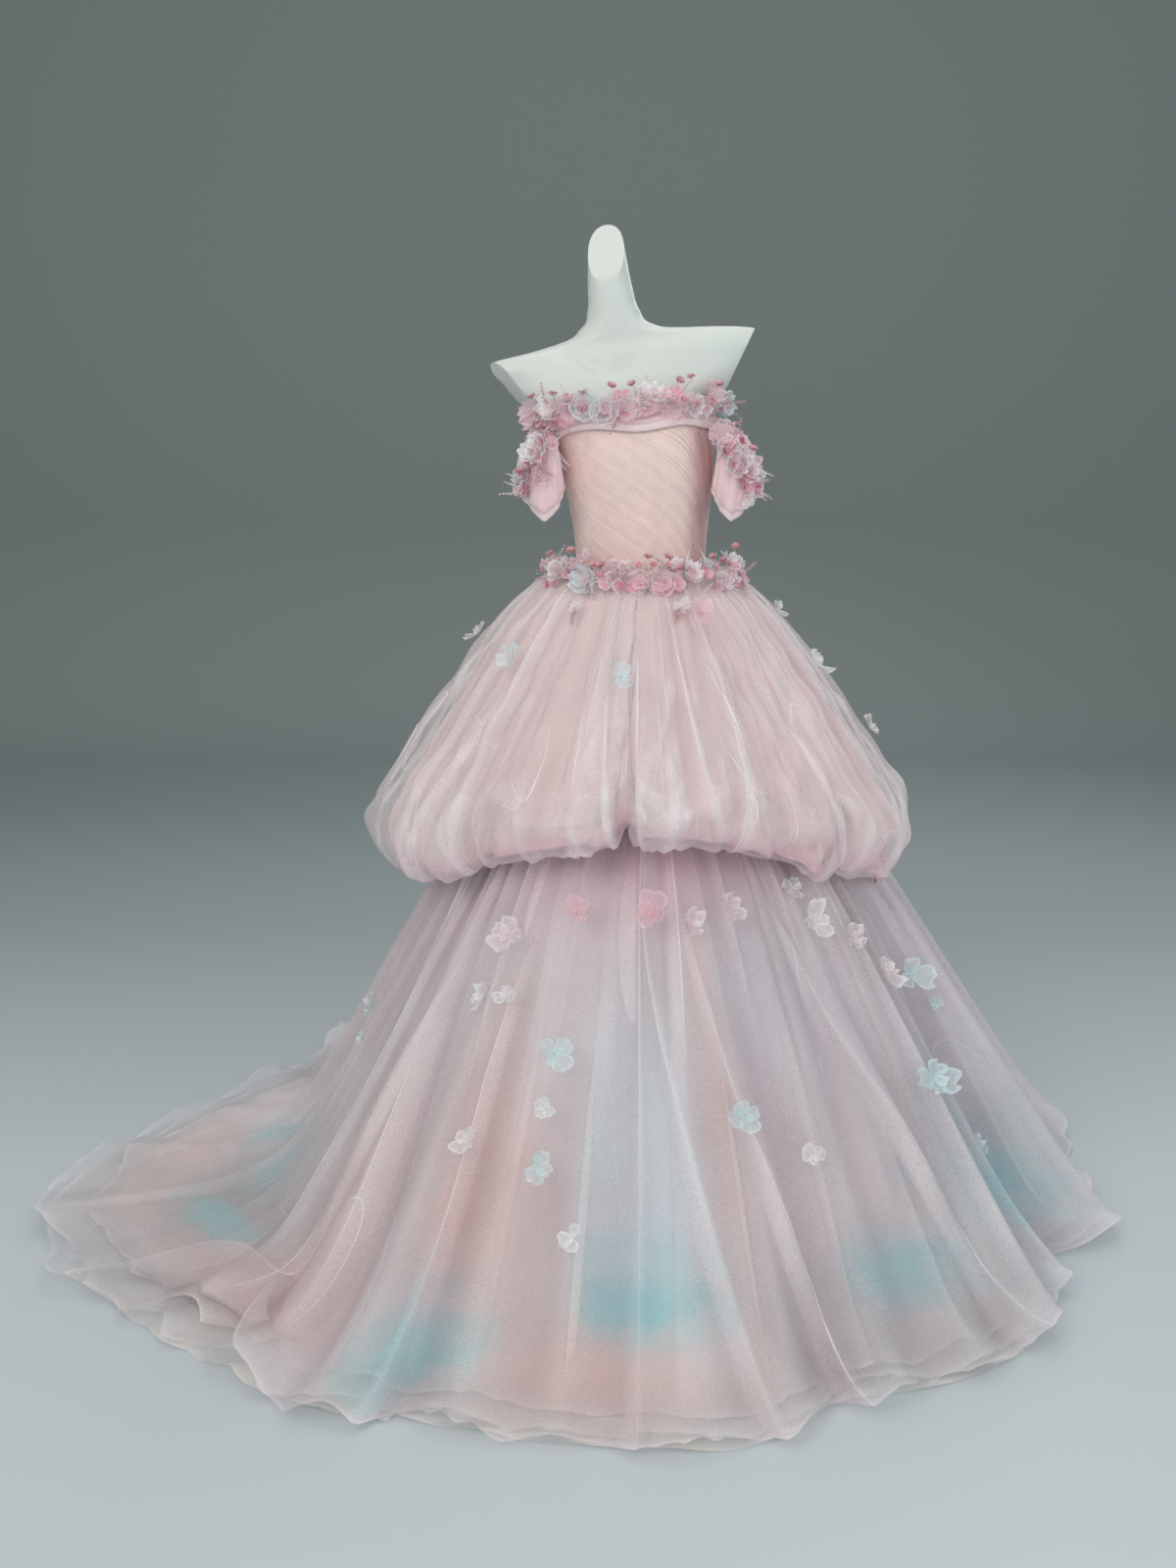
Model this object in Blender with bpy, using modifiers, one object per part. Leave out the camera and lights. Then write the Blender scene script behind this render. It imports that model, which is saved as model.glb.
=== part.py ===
"""Ball gown standing on a limbless dress form.

Metres, +Z up. The gown faces -Y, and the origin is on the floor under the pole of the form.
Angles around the gown are in degrees from +X, so 270 is the front and 180 is where the train lies.
Every cloth wall is a pair of matching grids, an outer and an inner one, taken from a surface function.
"""

import bisect
import functools
import math
from collections import namedtuple

import bmesh
import bpy
import numpy as np
from mathutils import Matrix, Vector
from mathutils.bvhtree import BVHTree

# ---------------------------------------------------------------- driving dimensions

WAIST_LEVEL = 1.080
SEAM_GAP = 0.0005
BODICE_SEAM_GAP = 0.0012
BODICE_CLEARANCE = 0.0036
BODICE_CLOTH = 0.0018
BODICE_PLEAT_DEPTH = 0.0016
PLEAT_ROWS_APART = 0.002
BODICE_BOTTOM = 1.082
BODICE_TOP = 1.318
BAND_CLOTH = 0.002
SLEEVE_CLOTH = 0.0018
OVERSKIRT_CLOTH = 0.0016
SKIRT_CLOTH = 0.002
IVORY_CLOTH = 0.001
COLUMNS_APART = 1.7
FLOOR_CLEARANCE = 0.0045
BASE_RADIUS = 0.165
BASE_THICKNESS = 0.010
BASE_EDGE = 0.002
POLE_RADIUS = 0.0125
TOUCH_GAP = 0.0004

SKIRT_TOP = 1.072
SKIRT_TOP_CLEARANCE = 0.0055
OVERSKIRT_TOP = 1.0785
OVERSKIRT_TOP_CLEARANCE = 0.0095
OVER_UNDER_CLEARANCE = 0.012
WAIST_CENTRE_X = 0.020

FORM_SIDES = 28
BUST_LEVELS = (1.245, 1.2825, 1.315)
ARM_CUT_BOX = (0.30, 0.16, 0.12)
PLEAT_PEAK = 0.7
BAND_WAVE = 0.004
SLEEVE_SIDES = 24
SLEEVE_ROWS = (0.0, 0.33, 0.67, 1.0)
IVORY_TOP = 0.0016
IVORY_TUCK = 0.060
IVORY_STEP = 3.0

GARLAND_LOBES = 5
GARLAND_LOBE_DEPTH = 0.12
GARLAND_NARROWEST = 0.62
GARLAND_END = 0.35
GARLAND_OFF_CLOTH = 0.007
WAIST_GARLAND_ANGLES = (196.0, 350.0)
WAIST_GARLAND_AT = 0.095
WAIST_GARLAND_DIP = 0.020
NECK_GARLAND_ANGLES = (206.0, 336.0)
NECK_GARLAND_LEVEL = 1.334
NECK_GARLAND_OFF_FORM = 0.030
SLEEVE_GARLAND_ANGLE = 226.0
SLEEVE_GARLAND_SWAY = 12.0

BLOSSOM_CLOTH = 0.0018
BLOSSOM_GAP = 0.0014
BLOSSOM_SPOKES = 15
BLOSSOM_PETALS = 5
BLOSSOM_CUP = 0.38
BLOSSOM_NOTCH = 0.32
SEAT_RAY = 0.1
SEAT_RAYS = 40

# ---------------------------------------------------------------- tables

FormSection = namedtuple("FormSection", "level centre_x half_width front back bust tilt slant")
FORM = (
    FormSection(0.860, 0.020, 0.148, 0.094, 0.108, 0.000, 0.00, 0.00),
    FormSection(0.910, 0.020, 0.152, 0.096, 0.112, 0.000, 0.00, 0.00),
    FormSection(0.970, 0.020, 0.142, 0.093, 0.104, 0.000, 0.00, 0.00),
    FormSection(1.030, 0.020, 0.119, 0.084, 0.085, 0.000, 0.00, 0.00),
    FormSection(1.080, 0.019, 0.1035, 0.077, 0.074, 0.000, 0.00, 0.00),
    FormSection(1.130, 0.018, 0.1055, 0.079, 0.075, 0.000, 0.00, 0.00),
    FormSection(1.180, 0.016, 0.112, 0.085, 0.081, 0.004, 0.00, 0.00),
    FormSection(1.225, 0.013, 0.118, 0.090, 0.086, 0.013, 0.00, 0.00),
    FormSection(1.265, 0.010, 0.122, 0.095, 0.089, 0.016, 0.01, 0.00),
    FormSection(1.300, 0.004, 0.128, 0.095, 0.091, 0.010, 0.03, 0.00),
    FormSection(1.330, -0.008, 0.146, 0.089, 0.090, 0.004, 0.06, 0.00),
    FormSection(1.360, -0.010, 0.176, 0.080, 0.084, 0.000, 0.09, 0.00),
    FormSection(1.395, -0.007, 0.206, 0.066, 0.070, 0.000, 0.11, 0.00),
    FormSection(1.423, -0.011, 0.226, 0.052, 0.056, 0.000, 0.124, 0.00),
    FormSection(1.436, -0.014, 0.200, 0.043, 0.049, 0.000, 0.13, 0.00),
    FormSection(1.442, -0.016, 0.150, 0.041, 0.048, 0.000, 0.14, 0.00),
    FormSection(1.449, -0.019, 0.094, 0.042, 0.048, 0.000, 0.13, 0.00),
    FormSection(1.463, -0.024, 0.058, 0.043, 0.050, 0.000, 0.07, 0.00),
    FormSection(1.488, -0.029, 0.042, 0.043, 0.048, 0.000, 0.03, 0.00),
    FormSection(1.520, -0.034, 0.0365, 0.042, 0.044, 0.000, 0.00, 0.30),
    FormSection(1.550, -0.038, 0.0325, 0.041, 0.040, 0.000, 0.08, 0.80),
    FormSection(1.577, -0.041, 0.0290, 0.040, 0.039, 0.000, 0.15, 1.19),
)
BUST_APART = 0.055
BUST_SPREAD = 0.046
FORM_SQUARENESS = 2.25

# The flat cuts where the arms would start: a point on each cut and the way it faces.
ArmCut = namedtuple("ArmCut", "point facing")
ARM_CUTS = (
    ArmCut((-0.184, 0.0, 1.3480), (-0.744, -0.342, -0.574)),
    ArmCut((0.1745, 0.0, 1.402), (0.900, -0.080, -0.425)),
)

# The hem seen from above: how far it reaches, where the falling cloth lands, and how softly it lands.
HemRow = namedtuple("HemRow", "angle reach landing softness")
HEM = (
    HemRow(0, 0.800, 0.790, 0.05),
    HemRow(30, 0.780, 0.760, 0.06),
    HemRow(60, 0.770, 0.750, 0.06),
    HemRow(90, 0.770, 0.745, 0.07),
    HemRow(120, 0.770, 0.720, 0.08),
    HemRow(140, 0.790, 0.680, 0.11),
    HemRow(156, 0.760, 0.620, 0.14),
    HemRow(168, 0.830, 0.600, 0.15),
    HemRow(181, 0.945, 0.600, 0.17),
    HemRow(192, 1.020, 0.600, 0.19),
    HemRow(203, 0.985, 0.620, 0.18),
    HemRow(215, 0.900, 0.670, 0.15),
    HemRow(228, 0.860, 0.740, 0.10),
    HemRow(242, 0.840, 0.800, 0.06),
    HemRow(256, 0.828, 0.818, 0.04),
    HemRow(270, 0.832, 0.824, 0.04),
    HemRow(281, 0.838, 0.830, 0.04),
    HemRow(290, 0.790, 0.782, 0.04),
    HemRow(302, 0.820, 0.812, 0.04),
    HemRow(312, 0.835, 0.825, 0.04),
    HemRow(321, 0.800, 0.790, 0.04),
    HemRow(329, 0.760, 0.752, 0.04),
    HemRow(338, 0.850, 0.820, 0.06),
    HemRow(347, 0.800, 0.785, 0.05),
)

# Standing folds of the underskirt: rounded ridges that widen from where they start to the hem.
Fold = namedtuple("Fold", "angle width depth start")
SKIRT_FOLDS = (
    Fold(160, 7.0, 0.024, 0.25),
    Fold(172, 6.5, 0.022, 0.35),
    Fold(184, 7.0, 0.024, 0.30),
    Fold(196, 7.5, 0.032, 0.35),
    Fold(208, 7.0, 0.028, 0.25),
    Fold(219, 6.0, 0.040, 0.20),
    Fold(230, 6.5, 0.046, 0.15),
    Fold(241, 5.5, 0.034, 0.20),
    Fold(252, 6.5, 0.040, 0.15),
    Fold(262, 4.5, 0.028, 0.30),
    Fold(274, 8.0, 0.034, 0.10),
    Fold(286, 5.0, 0.030, 0.25),
    Fold(296, 6.0, 0.044, 0.15),
    Fold(306, 5.5, 0.036, 0.20),
    Fold(316, 6.0, 0.046, 0.15),
    Fold(326, 5.0, 0.030, 0.30),
    Fold(338, 6.5, 0.050, 0.15),
    Fold(349, 6.0, 0.032, 0.25),
)
BACK_FOLD_ANGLES = (0.0, 148.0)
BACK_FOLD_COUNT = 13

# The puffed overskirt from the waist to its tucked hem: drop is the share of the height that has
# fallen, reach the share of the way out to the widest ring, gather how much its folds stand out.
PuffSection = namedtuple("PuffSection", "at drop reach gather")
PUFF = (
    PuffSection(0.00, 0.000, 0.000, 0.08),
    PuffSection(0.12, 0.040, 0.160, 0.25),
    PuffSection(0.28, 0.200, 0.395, 0.50),
    PuffSection(0.44, 0.400, 0.620, 0.80),
    PuffSection(0.60, 0.610, 0.830, 1.00),
    PuffSection(0.74, 0.790, 0.985, 1.00),
    PuffSection(0.85, 0.920, 1.000, 0.85),
    PuffSection(0.94, 0.995, 0.905, 0.55),
    PuffSection(1.00, 0.975, 0.800, 0.25),
)
PuffRow = namedtuple("PuffRow", "angle reach hem")
PUFF_HEM = (
    PuffRow(0, 0.458, 0.562),
    PuffRow(45, 0.446, 0.570),
    PuffRow(90, 0.442, 0.575),
    PuffRow(135, 0.440, 0.570),
    PuffRow(180, 0.440, 0.562),
    PuffRow(215, 0.436, 0.596),
    PuffRow(240, 0.424, 0.650),
    PuffRow(270, 0.412, 0.690),
    PuffRow(300, 0.426, 0.655),
    PuffRow(325, 0.446, 0.596),
)
PUFF_FOLDS = (
    Fold(154, 9.0, 0.026, 0.15),
    Fold(170, 8.0, 0.022, 0.30),
    Fold(186, 9.0, 0.030, 0.10),
    Fold(201, 7.0, 0.022, 0.25),
    Fold(214, 8.0, 0.034, 0.10),
    Fold(227, 6.0, 0.024, 0.30),
    Fold(239, 7.0, 0.030, 0.15),
    Fold(250, 5.0, 0.022, 0.25),
    Fold(260, 6.0, 0.036, 0.20),
    Fold(274, 6.0, 0.040, 0.10),
    Fold(285, 5.0, 0.024, 0.30),
    Fold(295, 6.0, 0.034, 0.15),
    Fold(307, 7.0, 0.030, 0.10),
    Fold(320, 6.5, 0.028, 0.25),
    Fold(333, 8.0, 0.036, 0.10),
    Fold(348, 8.0, 0.026, 0.20),
)
BACK_PUFF_ANGLES = (2.0, 140.0)
BACK_PUFF_COUNT = 11

# Where the bubble is tacked up: each tack lifts the hem and pulls it in.
Tack = namedtuple("Tack", "angle width lift")
TACKS = (
    Tack(205, 6.0, 0.020),
    Tack(233, 5.0, 0.022),
    Tack(267, 4.5, 0.042),
    Tack(290, 5.0, 0.020),
    Tack(313, 5.0, 0.034),
    Tack(346, 6.0, 0.022),
    Tack(25, 7.0, 0.026),
    Tack(62, 7.0, 0.034),
    Tack(98, 7.0, 0.026),
    Tack(134, 7.0, 0.034),
    Tack(168, 6.0, 0.024),
)

BodicePiece = namedtuple("BodicePiece", "name start end slope pitch mirrored segments")
BODICE_PIECES = (
    BodicePiece("bodice_front", 222.0, 318.0, 38.0, 0.0155, False, 8),
    BodicePiece("bodice_side_right", 318.0, 375.0, 76.0, 0.0180, False, 4),
    BodicePiece("bodice_side_left", 165.0, 222.0, 70.0, 0.0180, False, 4),
    BodicePiece("bodice_back_right", 15.0, 90.0, 72.0, 0.0180, True, 4),
    BodicePiece("bodice_back_left", 90.0, 165.0, 72.0, 0.0180, False, 4),
)

BandPiece = namedtuple("BandPiece", "name start end columns")
BAND_PIECES = (
    BandPiece("band_front", 199.0, 341.0, 26),
    BandPiece("band_back_right", 19.0, 90.0, 14),
    BandPiece("band_back_left", 90.0, 161.0, 14),
)
# Across the folded band, bottom edge to top: how far it stands off the form.
BandSection = namedtuple("BandSection", "level off")
BAND = (
    BandSection(1.298, 0.0112),
    BandSection(1.309, 0.0150),
    BandSection(1.320, 0.0120),
    BandSection(1.333, 0.0150),
    BandSection(1.343, 0.0080),
)

# The left loop sleeve, top edge to bottom edge: how far its inner side stands off the form, how wide
# the loop is from there, half the angle it spans round the form, and how far its point hangs down.
# The right one mirrors it.
SleeveSection = namedtuple("SleeveSection", "at level near width half_span droop")
SLEEVE = (
    SleeveSection(0.00, 1.291, 0.0215, 0.026, 18.0, 0.000),
    SleeveSection(0.24, 1.277, 0.0215, 0.041, 22.0, 0.006),
    SleeveSection(0.50, 1.254, 0.0210, 0.056, 25.0, 0.020),
    SleeveSection(0.76, 1.228, 0.0200, 0.064, 25.0, 0.036),
    SleeveSection(1.00, 1.206, 0.0200, 0.060, 23.0, 0.052),
)
SLEEVE_MIDDLE = 195.0
SLEEVE_POINT = 232.0
BODY_MIDDLE_X = 0.011

Gore = namedtuple("Gore", "name start end")
SKIRT_GORES = (
    Gore("skirt_side_right", -32.0, 18.0),
    Gore("skirt_back_right", 18.0, 78.0),
    Gore("skirt_back_left", 78.0, 138.0),
    Gore("skirt_train", 138.0, 213.0),
    Gore("skirt_front_left", 213.0, 252.0),
    Gore("skirt_front", 252.0, 290.0),
    Gore("skirt_front_right", 290.0, 328.0),
)
OVERSKIRT_PANELS = (
    Gore("overskirt_right", -53.0, 19.0),
    Gore("overskirt_back_right", 19.0, 91.0),
    Gore("overskirt_back_left", 91.0, 163.0),
    Gore("overskirt_left", 163.0, 235.0),
    Gore("overskirt_front", 235.0, 307.0),
)
SKIRT_ROWS = (0.0, 0.17, 0.38, 0.58, 0.76, 0.90, 1.0)
PUFF_ROWS = (0.0, 0.12, 0.32, 0.54, 0.72, 0.85, 0.94, 1.0)

# Ivory under layer where it shows past the hem: how far it stands out beyond it.
IvoryStrip = namedtuple("IvoryStrip", "name start end past_hem")
IVORY = (
    IvoryStrip("ivory_hem_train", 205.0, 246.5, 0.045),
    IvoryStrip("ivory_hem_front", 247.0, 322.0, 0.014),
)
Garland = namedtuple("Garland", "name side flowers radius flatness sides rings")
WAIST_GARLAND = Garland("garland_waist", 0, 8, 0.0250, 0.80, 8, 34)
NECK_GARLAND = Garland("garland_neckline", 0, 8, 0.0170, 0.62, 7, 30)
LEFT_GARLAND = Garland("garland_sleeve_left", 1, 3, 0.0185, 0.80, 8, 14)
RIGHT_GARLAND = Garland("garland_sleeve_right", -1, 3, 0.0185, 0.80, 8, 14)

Colour = namedtuple("Colour", "name rgb roughness")
FORM_WHITE = Colour("form_white", (0.86, 0.88, 0.85), 0.45)
STAND_METAL = Colour("stand_metal", (0.62, 0.62, 0.62), 0.35)
BODICE_PINK = Colour("bodice_pink", (0.93, 0.72, 0.69), 0.75)
BAND_PINK = Colour("band_pink", (0.94, 0.76, 0.77), 0.75)
BLUSH_TULLE = Colour("blush_tulle", (0.92, 0.76, 0.77), 0.80)
MIST_TULLE = Colour("mist_tulle", (0.80, 0.76, 0.79), 0.80)
IVORY_TULLE = Colour("ivory_tulle", (0.90, 0.86, 0.80), 0.80)
ROSE_PETAL = Colour("rose_petal", (0.92, 0.55, 0.64), 0.60)
PALE_PETAL = Colour("pale_petal", (0.93, 0.84, 0.86), 0.55)
AQUA_PETAL = Colour("aqua_petal", (0.66, 0.85, 0.86), 0.55)

# Single flowers: where each sits on its skirt, as an angle and the share of the way down.
Blossom = namedtuple("Blossom", "name skirt angle at radius colour")
BLOSSOMS = (
    Blossom("blossom_over_1", "over", 184.0, 0.31, 0.024, PALE_PETAL),
    Blossom("blossom_over_2", "over", 224.0, 0.37, 0.025, AQUA_PETAL),
    Blossom("blossom_over_3", "over", 262.0, 0.43, 0.022, AQUA_PETAL),
    Blossom("blossom_over_4", "over", 294.0, 0.25, 0.025, ROSE_PETAL),
    Blossom("blossom_over_5", "over", 334.0, 0.37, 0.026, AQUA_PETAL),
    Blossom("blossom_over_6", "over", 350.0, 0.55, 0.024, PALE_PETAL),
    Blossom("blossom_over_7", "over", 44.0, 0.40, 0.026, PALE_PETAL),
    Blossom("blossom_over_8", "over", 118.0, 0.42, 0.026, AQUA_PETAL),
    Blossom("blossom_under_1", "under", 202.0, 0.40, 0.026, AQUA_PETAL),
    Blossom("blossom_under_2", "under", 243.0, 0.46, 0.028, ROSE_PETAL),
    Blossom("blossom_under_3", "under", 256.0, 0.44, 0.026, ROSE_PETAL),
    Blossom("blossom_under_4", "under", 272.0, 0.44, 0.030, ROSE_PETAL),
    Blossom("blossom_under_5", "under", 288.0, 0.44, 0.026, PALE_PETAL),
    Blossom("blossom_under_6", "under", 306.0, 0.47, 0.028, PALE_PETAL),
    Blossom("blossom_under_7", "under", 316.0, 0.55, 0.028, PALE_PETAL),
    Blossom("blossom_under_8", "under", 332.0, 0.58, 0.028, AQUA_PETAL),
    Blossom("blossom_under_9", "under", 256.0, 0.60, 0.026, AQUA_PETAL),
    Blossom("blossom_under_10", "under", 284.0, 0.67, 0.030, AQUA_PETAL),
    Blossom("blossom_under_11", "under", 256.0, 0.72, 0.030, AQUA_PETAL),
    Blossom("blossom_under_12", "under", 315.0, 0.68, 0.034, AQUA_PETAL),
    Blossom("blossom_under_13", "under", 40.0, 0.62, 0.030, ROSE_PETAL),
    Blossom("blossom_under_14", "under", 96.0, 0.68, 0.030, PALE_PETAL),
    Blossom("blossom_under_15", "under", 127.0, 0.56, 0.030, AQUA_PETAL),
)

# ---------------------------------------------------------------- helpers


def column(table, name):
    return [getattr(row, name) for row in table]


class Curve:
    """A smooth curve through the values, level beyond its ends."""

    def __init__(self, keys, values):
        self.keys = [float(key) for key in keys]
        self.values = [float(value) for value in values]
        self.slopes = [float(slope) for slope in np.gradient(self.values, self.keys)]

    def __call__(self, at):
        keys = self.keys
        at = min(max(at, keys[0]), keys[-1])
        low = min(bisect.bisect_right(keys, at) - 1, len(keys) - 2)
        span = keys[low + 1] - keys[low]
        t = (at - keys[low]) / span
        back = t * t * (3 - 2 * t)
        ends = (1 - back) * self.values[low] + back * self.values[low + 1]
        first, last = self.slopes[low], self.slopes[low + 1]
        return ends + span * t * (1 - t) * ((1 - t) * first - t * last)


def level_curves(table):
    """A curve over a table's first column for each of its other columns."""
    keys = [row[0] for row in table]
    return {name: Curve(keys, column(table, name)) for name in table[0]._fields[1:]}


def ring_curves(table):
    """The same for a table of angles, which closes on itself."""
    rows = list(table)
    keys = [rows[-2].angle - 360, rows[-1].angle - 360] + column(rows, "angle")
    keys += [rows[0].angle + 360, rows[1].angle + 360]
    rows = rows[-2:] + rows + rows[:2]
    return {name: Curve(keys, column(rows, name)) for name in table[0]._fields[1:]}


def turn_between(angle, other):
    """The signed angle from other to angle, in -180 to 180."""
    return (angle - other + 180) % 360 - 180


def bump(distance, width):
    """1 at the middle, falling softly to 0 at one width."""
    if abs(distance) >= width:
        return 0.0
    return 0.5 + 0.5 * math.cos(math.pi * distance / width)


def ramp(at, start):
    """0 up to start, then rising softly to 1."""
    t = min(max((at - start) / (1 - start), 0.0), 1.0)
    return t * t * (3 - 2 * t)


def direction(angle):
    return np.array((math.cos(math.radians(angle)), math.sin(math.radians(angle)), 0.0))


def hidden_folds(angles, count, width, depth):
    """Like the folds in the table, uneven in place, width and depth, for the side that has no table rows."""
    low, high = angles
    step = (high - low) / count
    folds = []
    for i in range(count):
        sway = math.sin(2.4 * i + 0.7)
        angle = low + step * (i + 0.5 + 0.18 * sway)
        taller = 1 + 0.25 * math.sin(1.7 * i)
        folds.append(Fold(angle, width * (1 + 0.15 * sway), depth * taller, 0.2 + 0.1 * sway))
    return tuple(folds)


FORM_CURVES = level_curves(FORM)
HEM_CURVES = ring_curves(HEM)
PUFF_CURVES = level_curves(PUFF)
PUFF_HEM_CURVES = ring_curves(PUFF_HEM)
SLEEVE_CURVES = level_curves(SLEEVE)
ALL_SKIRT_FOLDS = SKIRT_FOLDS + hidden_folds(BACK_FOLD_ANGLES, BACK_FOLD_COUNT, 6.2, 0.036)
ALL_PUFF_FOLDS = PUFF_FOLDS + hidden_folds(BACK_PUFF_ANGLES, BACK_PUFF_COUNT, 7.4, 0.028)

# ---------------------------------------------------------------- surfaces


@functools.lru_cache(maxsize=None)
def form_section(level):
    return FormSection(level, *(curve(level) for curve in FORM_CURVES.values()))


def form_point(angle, level):
    """A point on the dress form, on the section at this level."""
    row = form_section(level)
    cos, sin = math.cos(math.radians(angle)), math.sin(math.radians(angle))
    power = 2 / FORM_SQUARENESS
    x = math.copysign(abs(cos) ** power, cos) * row.half_width
    depth = row.front if sin < 0 else row.back
    y = math.copysign(abs(sin) ** power, sin) * depth
    if sin < 0:
        near = sum(math.exp(-(((x - side * BUST_APART) / BUST_SPREAD) ** 2)) for side in (-1, 1))
        y -= row.bust * near * abs(sin)
    return np.array((row.centre_x + x, y, level + row.tilt * x + row.slant * y))


def unit(vector):
    return vector / np.linalg.norm(vector)


def normal_of(surface, u, v, step_u, step_v):
    """The surface's outward normal, by differences of the function, so that neighbours agree at a seam."""
    along_u = surface(u + step_u, v) - surface(u - step_u, v)
    along_v = surface(u, v + step_v) - surface(u, v - step_v)
    return unit(np.cross(along_u, along_v))


def form_offset(angle, level, out):
    return form_point(angle, level) + normal_of(form_point, angle, level, 0.5, 0.004) * out


@functools.lru_cache(maxsize=None)
def waist_ring(angle):
    """How far the form's waist reaches from its middle."""
    point = form_point(angle, WAIST_LEVEL)
    return float(np.hypot(point[0] - waist_middle(WAIST_LEVEL), point[1]))


def waist_middle(height):
    """The gown's middle leans from the waist's centre back over the pole."""
    return WAIST_CENTRE_X * min(max(height / WAIST_LEVEL, 0.0), 1.0)


def fold_height(folds, angle, at):
    """How far the folds lift the cloth at this place."""
    total = 0.0
    for fold in folds:
        away = turn_between(angle, fold.angle)
        if abs(away) < fold.width:
            total = max(total, fold.depth * bump(away, fold.width) * ramp(at, fold.start))
    return total


@functools.lru_cache(maxsize=None)
def hem_row(angle):
    return tuple(curve(angle % 360) for curve in HEM_CURVES.values())


def skirt_base(angle, at):
    """The underskirt without its folds: a cone from the waist that lands softly and runs out on the floor."""
    reach, landing, softness = hem_row(angle)
    start = waist_ring(angle) + SKIRT_TOP_CLEARANCE
    radius = start + (reach - start) * at

    def height(share):
        return 0.5 * ((1 - share) + math.sqrt((1 - share) ** 2 + softness**2))

    share = (radius - start) / (landing - start)
    end = height((reach - start) / (landing - start))
    z = FLOOR_CLEARANCE + (SKIRT_TOP - FLOOR_CLEARANCE) * (height(share) - end) / (height(0) - end)
    return direction(angle) * radius + np.array((waist_middle(z), 0.0, z))


def skirt_point(angle, at):
    """The underskirt's outer face."""
    at = min(max(at, 0.0), 1.0)
    step = 0.01
    slope = skirt_base(angle, min(at + step, 1.0)) - skirt_base(angle, max(at - step, 0.0))
    out = unit(np.cross(direction(angle + 90), slope))
    if out[2] < 0:
        out = -out
    return skirt_base(angle, at) + out * fold_height(ALL_SKIRT_FOLDS, angle, at)


@functools.lru_cache(maxsize=None)
def skirt_profile(angle):
    """Heights, as falls below the waist, and reaches down the folded underskirt."""
    points = [skirt_point(angle, share) for share in np.linspace(0, 1, 26)]
    falls = [-point[2] for point in points]
    return falls, [math.hypot(point[0] - waist_middle(point[2]), point[1]) for point in points]


def skirt_reach(angle, height):
    """How far the folded underskirt reaches at this height."""
    return float(np.interp(-height, *skirt_profile(angle)))


def tack_lift(angle):
    return sum(tack.lift * bump(turn_between(angle, tack.angle), tack.width) for tack in TACKS)


def puff_point(angle, at):
    """The overskirt's outer face, from the waist out over the bubble to its tucked hem."""
    at = min(max(at, 0.0), 1.0)
    start = waist_ring(angle) + OVERSKIRT_TOP_CLEARANCE
    widest = PUFF_HEM_CURVES["reach"](angle % 360)
    lift = tack_lift(angle)
    lowest = PUFF_HEM_CURVES["hem"](angle % 360) + lift
    drop, reach, gather = (curve(at) for curve in PUFF_CURVES.values())
    z = OVERSKIRT_TOP - (OVERSKIRT_TOP - lowest) * drop
    radius = start + (widest - start) * reach
    radius += gather * fold_height(ALL_PUFF_FOLDS, angle, 0.35 + 0.65 * at)
    radius -= 0.9 * lift * bump(1 - at, 0.75)
    if at > 0.5:
        radius = max(radius, skirt_reach(angle, z) + OVER_UNDER_CLEARANCE)
    return direction(angle) * radius + np.array((waist_middle(z), 0.0, z))


def sleeve_point(side, angle, share):
    """The loop sleeve's outer face: side 1 is the left one. Around the loop, 180 is its outermost side and
    270 its front."""
    level, near, width, half_span, droop = (curve(share) for curve in SLEEVE_CURVES.values())
    around = SLEEVE_MIDDLE - half_span * math.sin(math.radians(angle))
    off = near + width * (0.5 - 0.5 * math.cos(math.radians(angle)))
    out = normal_of(form_point, around, level, 0.5, 0.004)
    point = form_point(around, level) + unit(out * (1, 1, 0)) * off
    height = level - droop * bump(turn_between(angle, SLEEVE_POINT), 100)
    return np.array((BODY_MIDDLE_X + side * (point[0] - BODY_MIDDLE_X), point[1], height))


# ---------------------------------------------------------------- mesh building


def material_of(colour):
    found = bpy.data.materials.get(colour.name)
    if found:
        return found
    made = bpy.data.materials.new(colour.name)
    made.use_nodes = True
    shader = made.node_tree.nodes["Principled BSDF"]
    shader.inputs["Base Color"].default_value = (*colour.rgb, 1.0)
    shader.inputs["Roughness"].default_value = colour.roughness
    shader.inputs["Metallic"].default_value = 0.9 if colour is STAND_METAL else 0.0
    made.diffuse_color = (*colour.rgb, 1.0)
    return made


def object_from(name, mesh_builder, colour):
    """Puts a finished bmesh into the gown's collection, under its empty."""
    bmesh.ops.recalc_face_normals(mesh_builder, faces=mesh_builder.faces)
    mesh = bpy.data.meshes.new(name)
    mesh_builder.to_mesh(mesh)
    mesh_builder.free()
    mesh.shade_smooth()
    mesh.set_sharp_from_angle(angle=math.radians(50))
    mesh.materials.append(material_of(colour))
    made = bpy.data.objects.new(name, mesh)
    collection.objects.link(made)
    made.parent = gown
    return made


def wall(name, outer, inner, colour, closed=False):
    """A cloth wall between two matching grids of points. A closed one runs all the way round its rows."""
    builder = bmesh.new()
    rows, columns = len(outer), len(outer[0])
    grids = [[[builder.verts.new(point) for point in row] for row in grid] for grid in (outer, inner)]
    last = columns if closed else columns - 1
    for grid in grids:
        for i in range(rows - 1):
            for j in range(last):
                k = (j + 1) % columns
                builder.faces.new((grid[i][j], grid[i][k], grid[i + 1][k], grid[i + 1][j]))
    out, back = grids
    for i in (0, rows - 1):
        for j in range(last):
            k = (j + 1) % columns
            builder.faces.new((out[i][j], out[i][k], back[i][k], back[i][j]))
    if not closed:
        for j in (0, columns - 1):
            for i in range(rows - 1):
                builder.faces.new((out[i][j], out[i + 1][j], back[i + 1][j], back[i][j]))
    return object_from(name, builder, colour)


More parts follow.
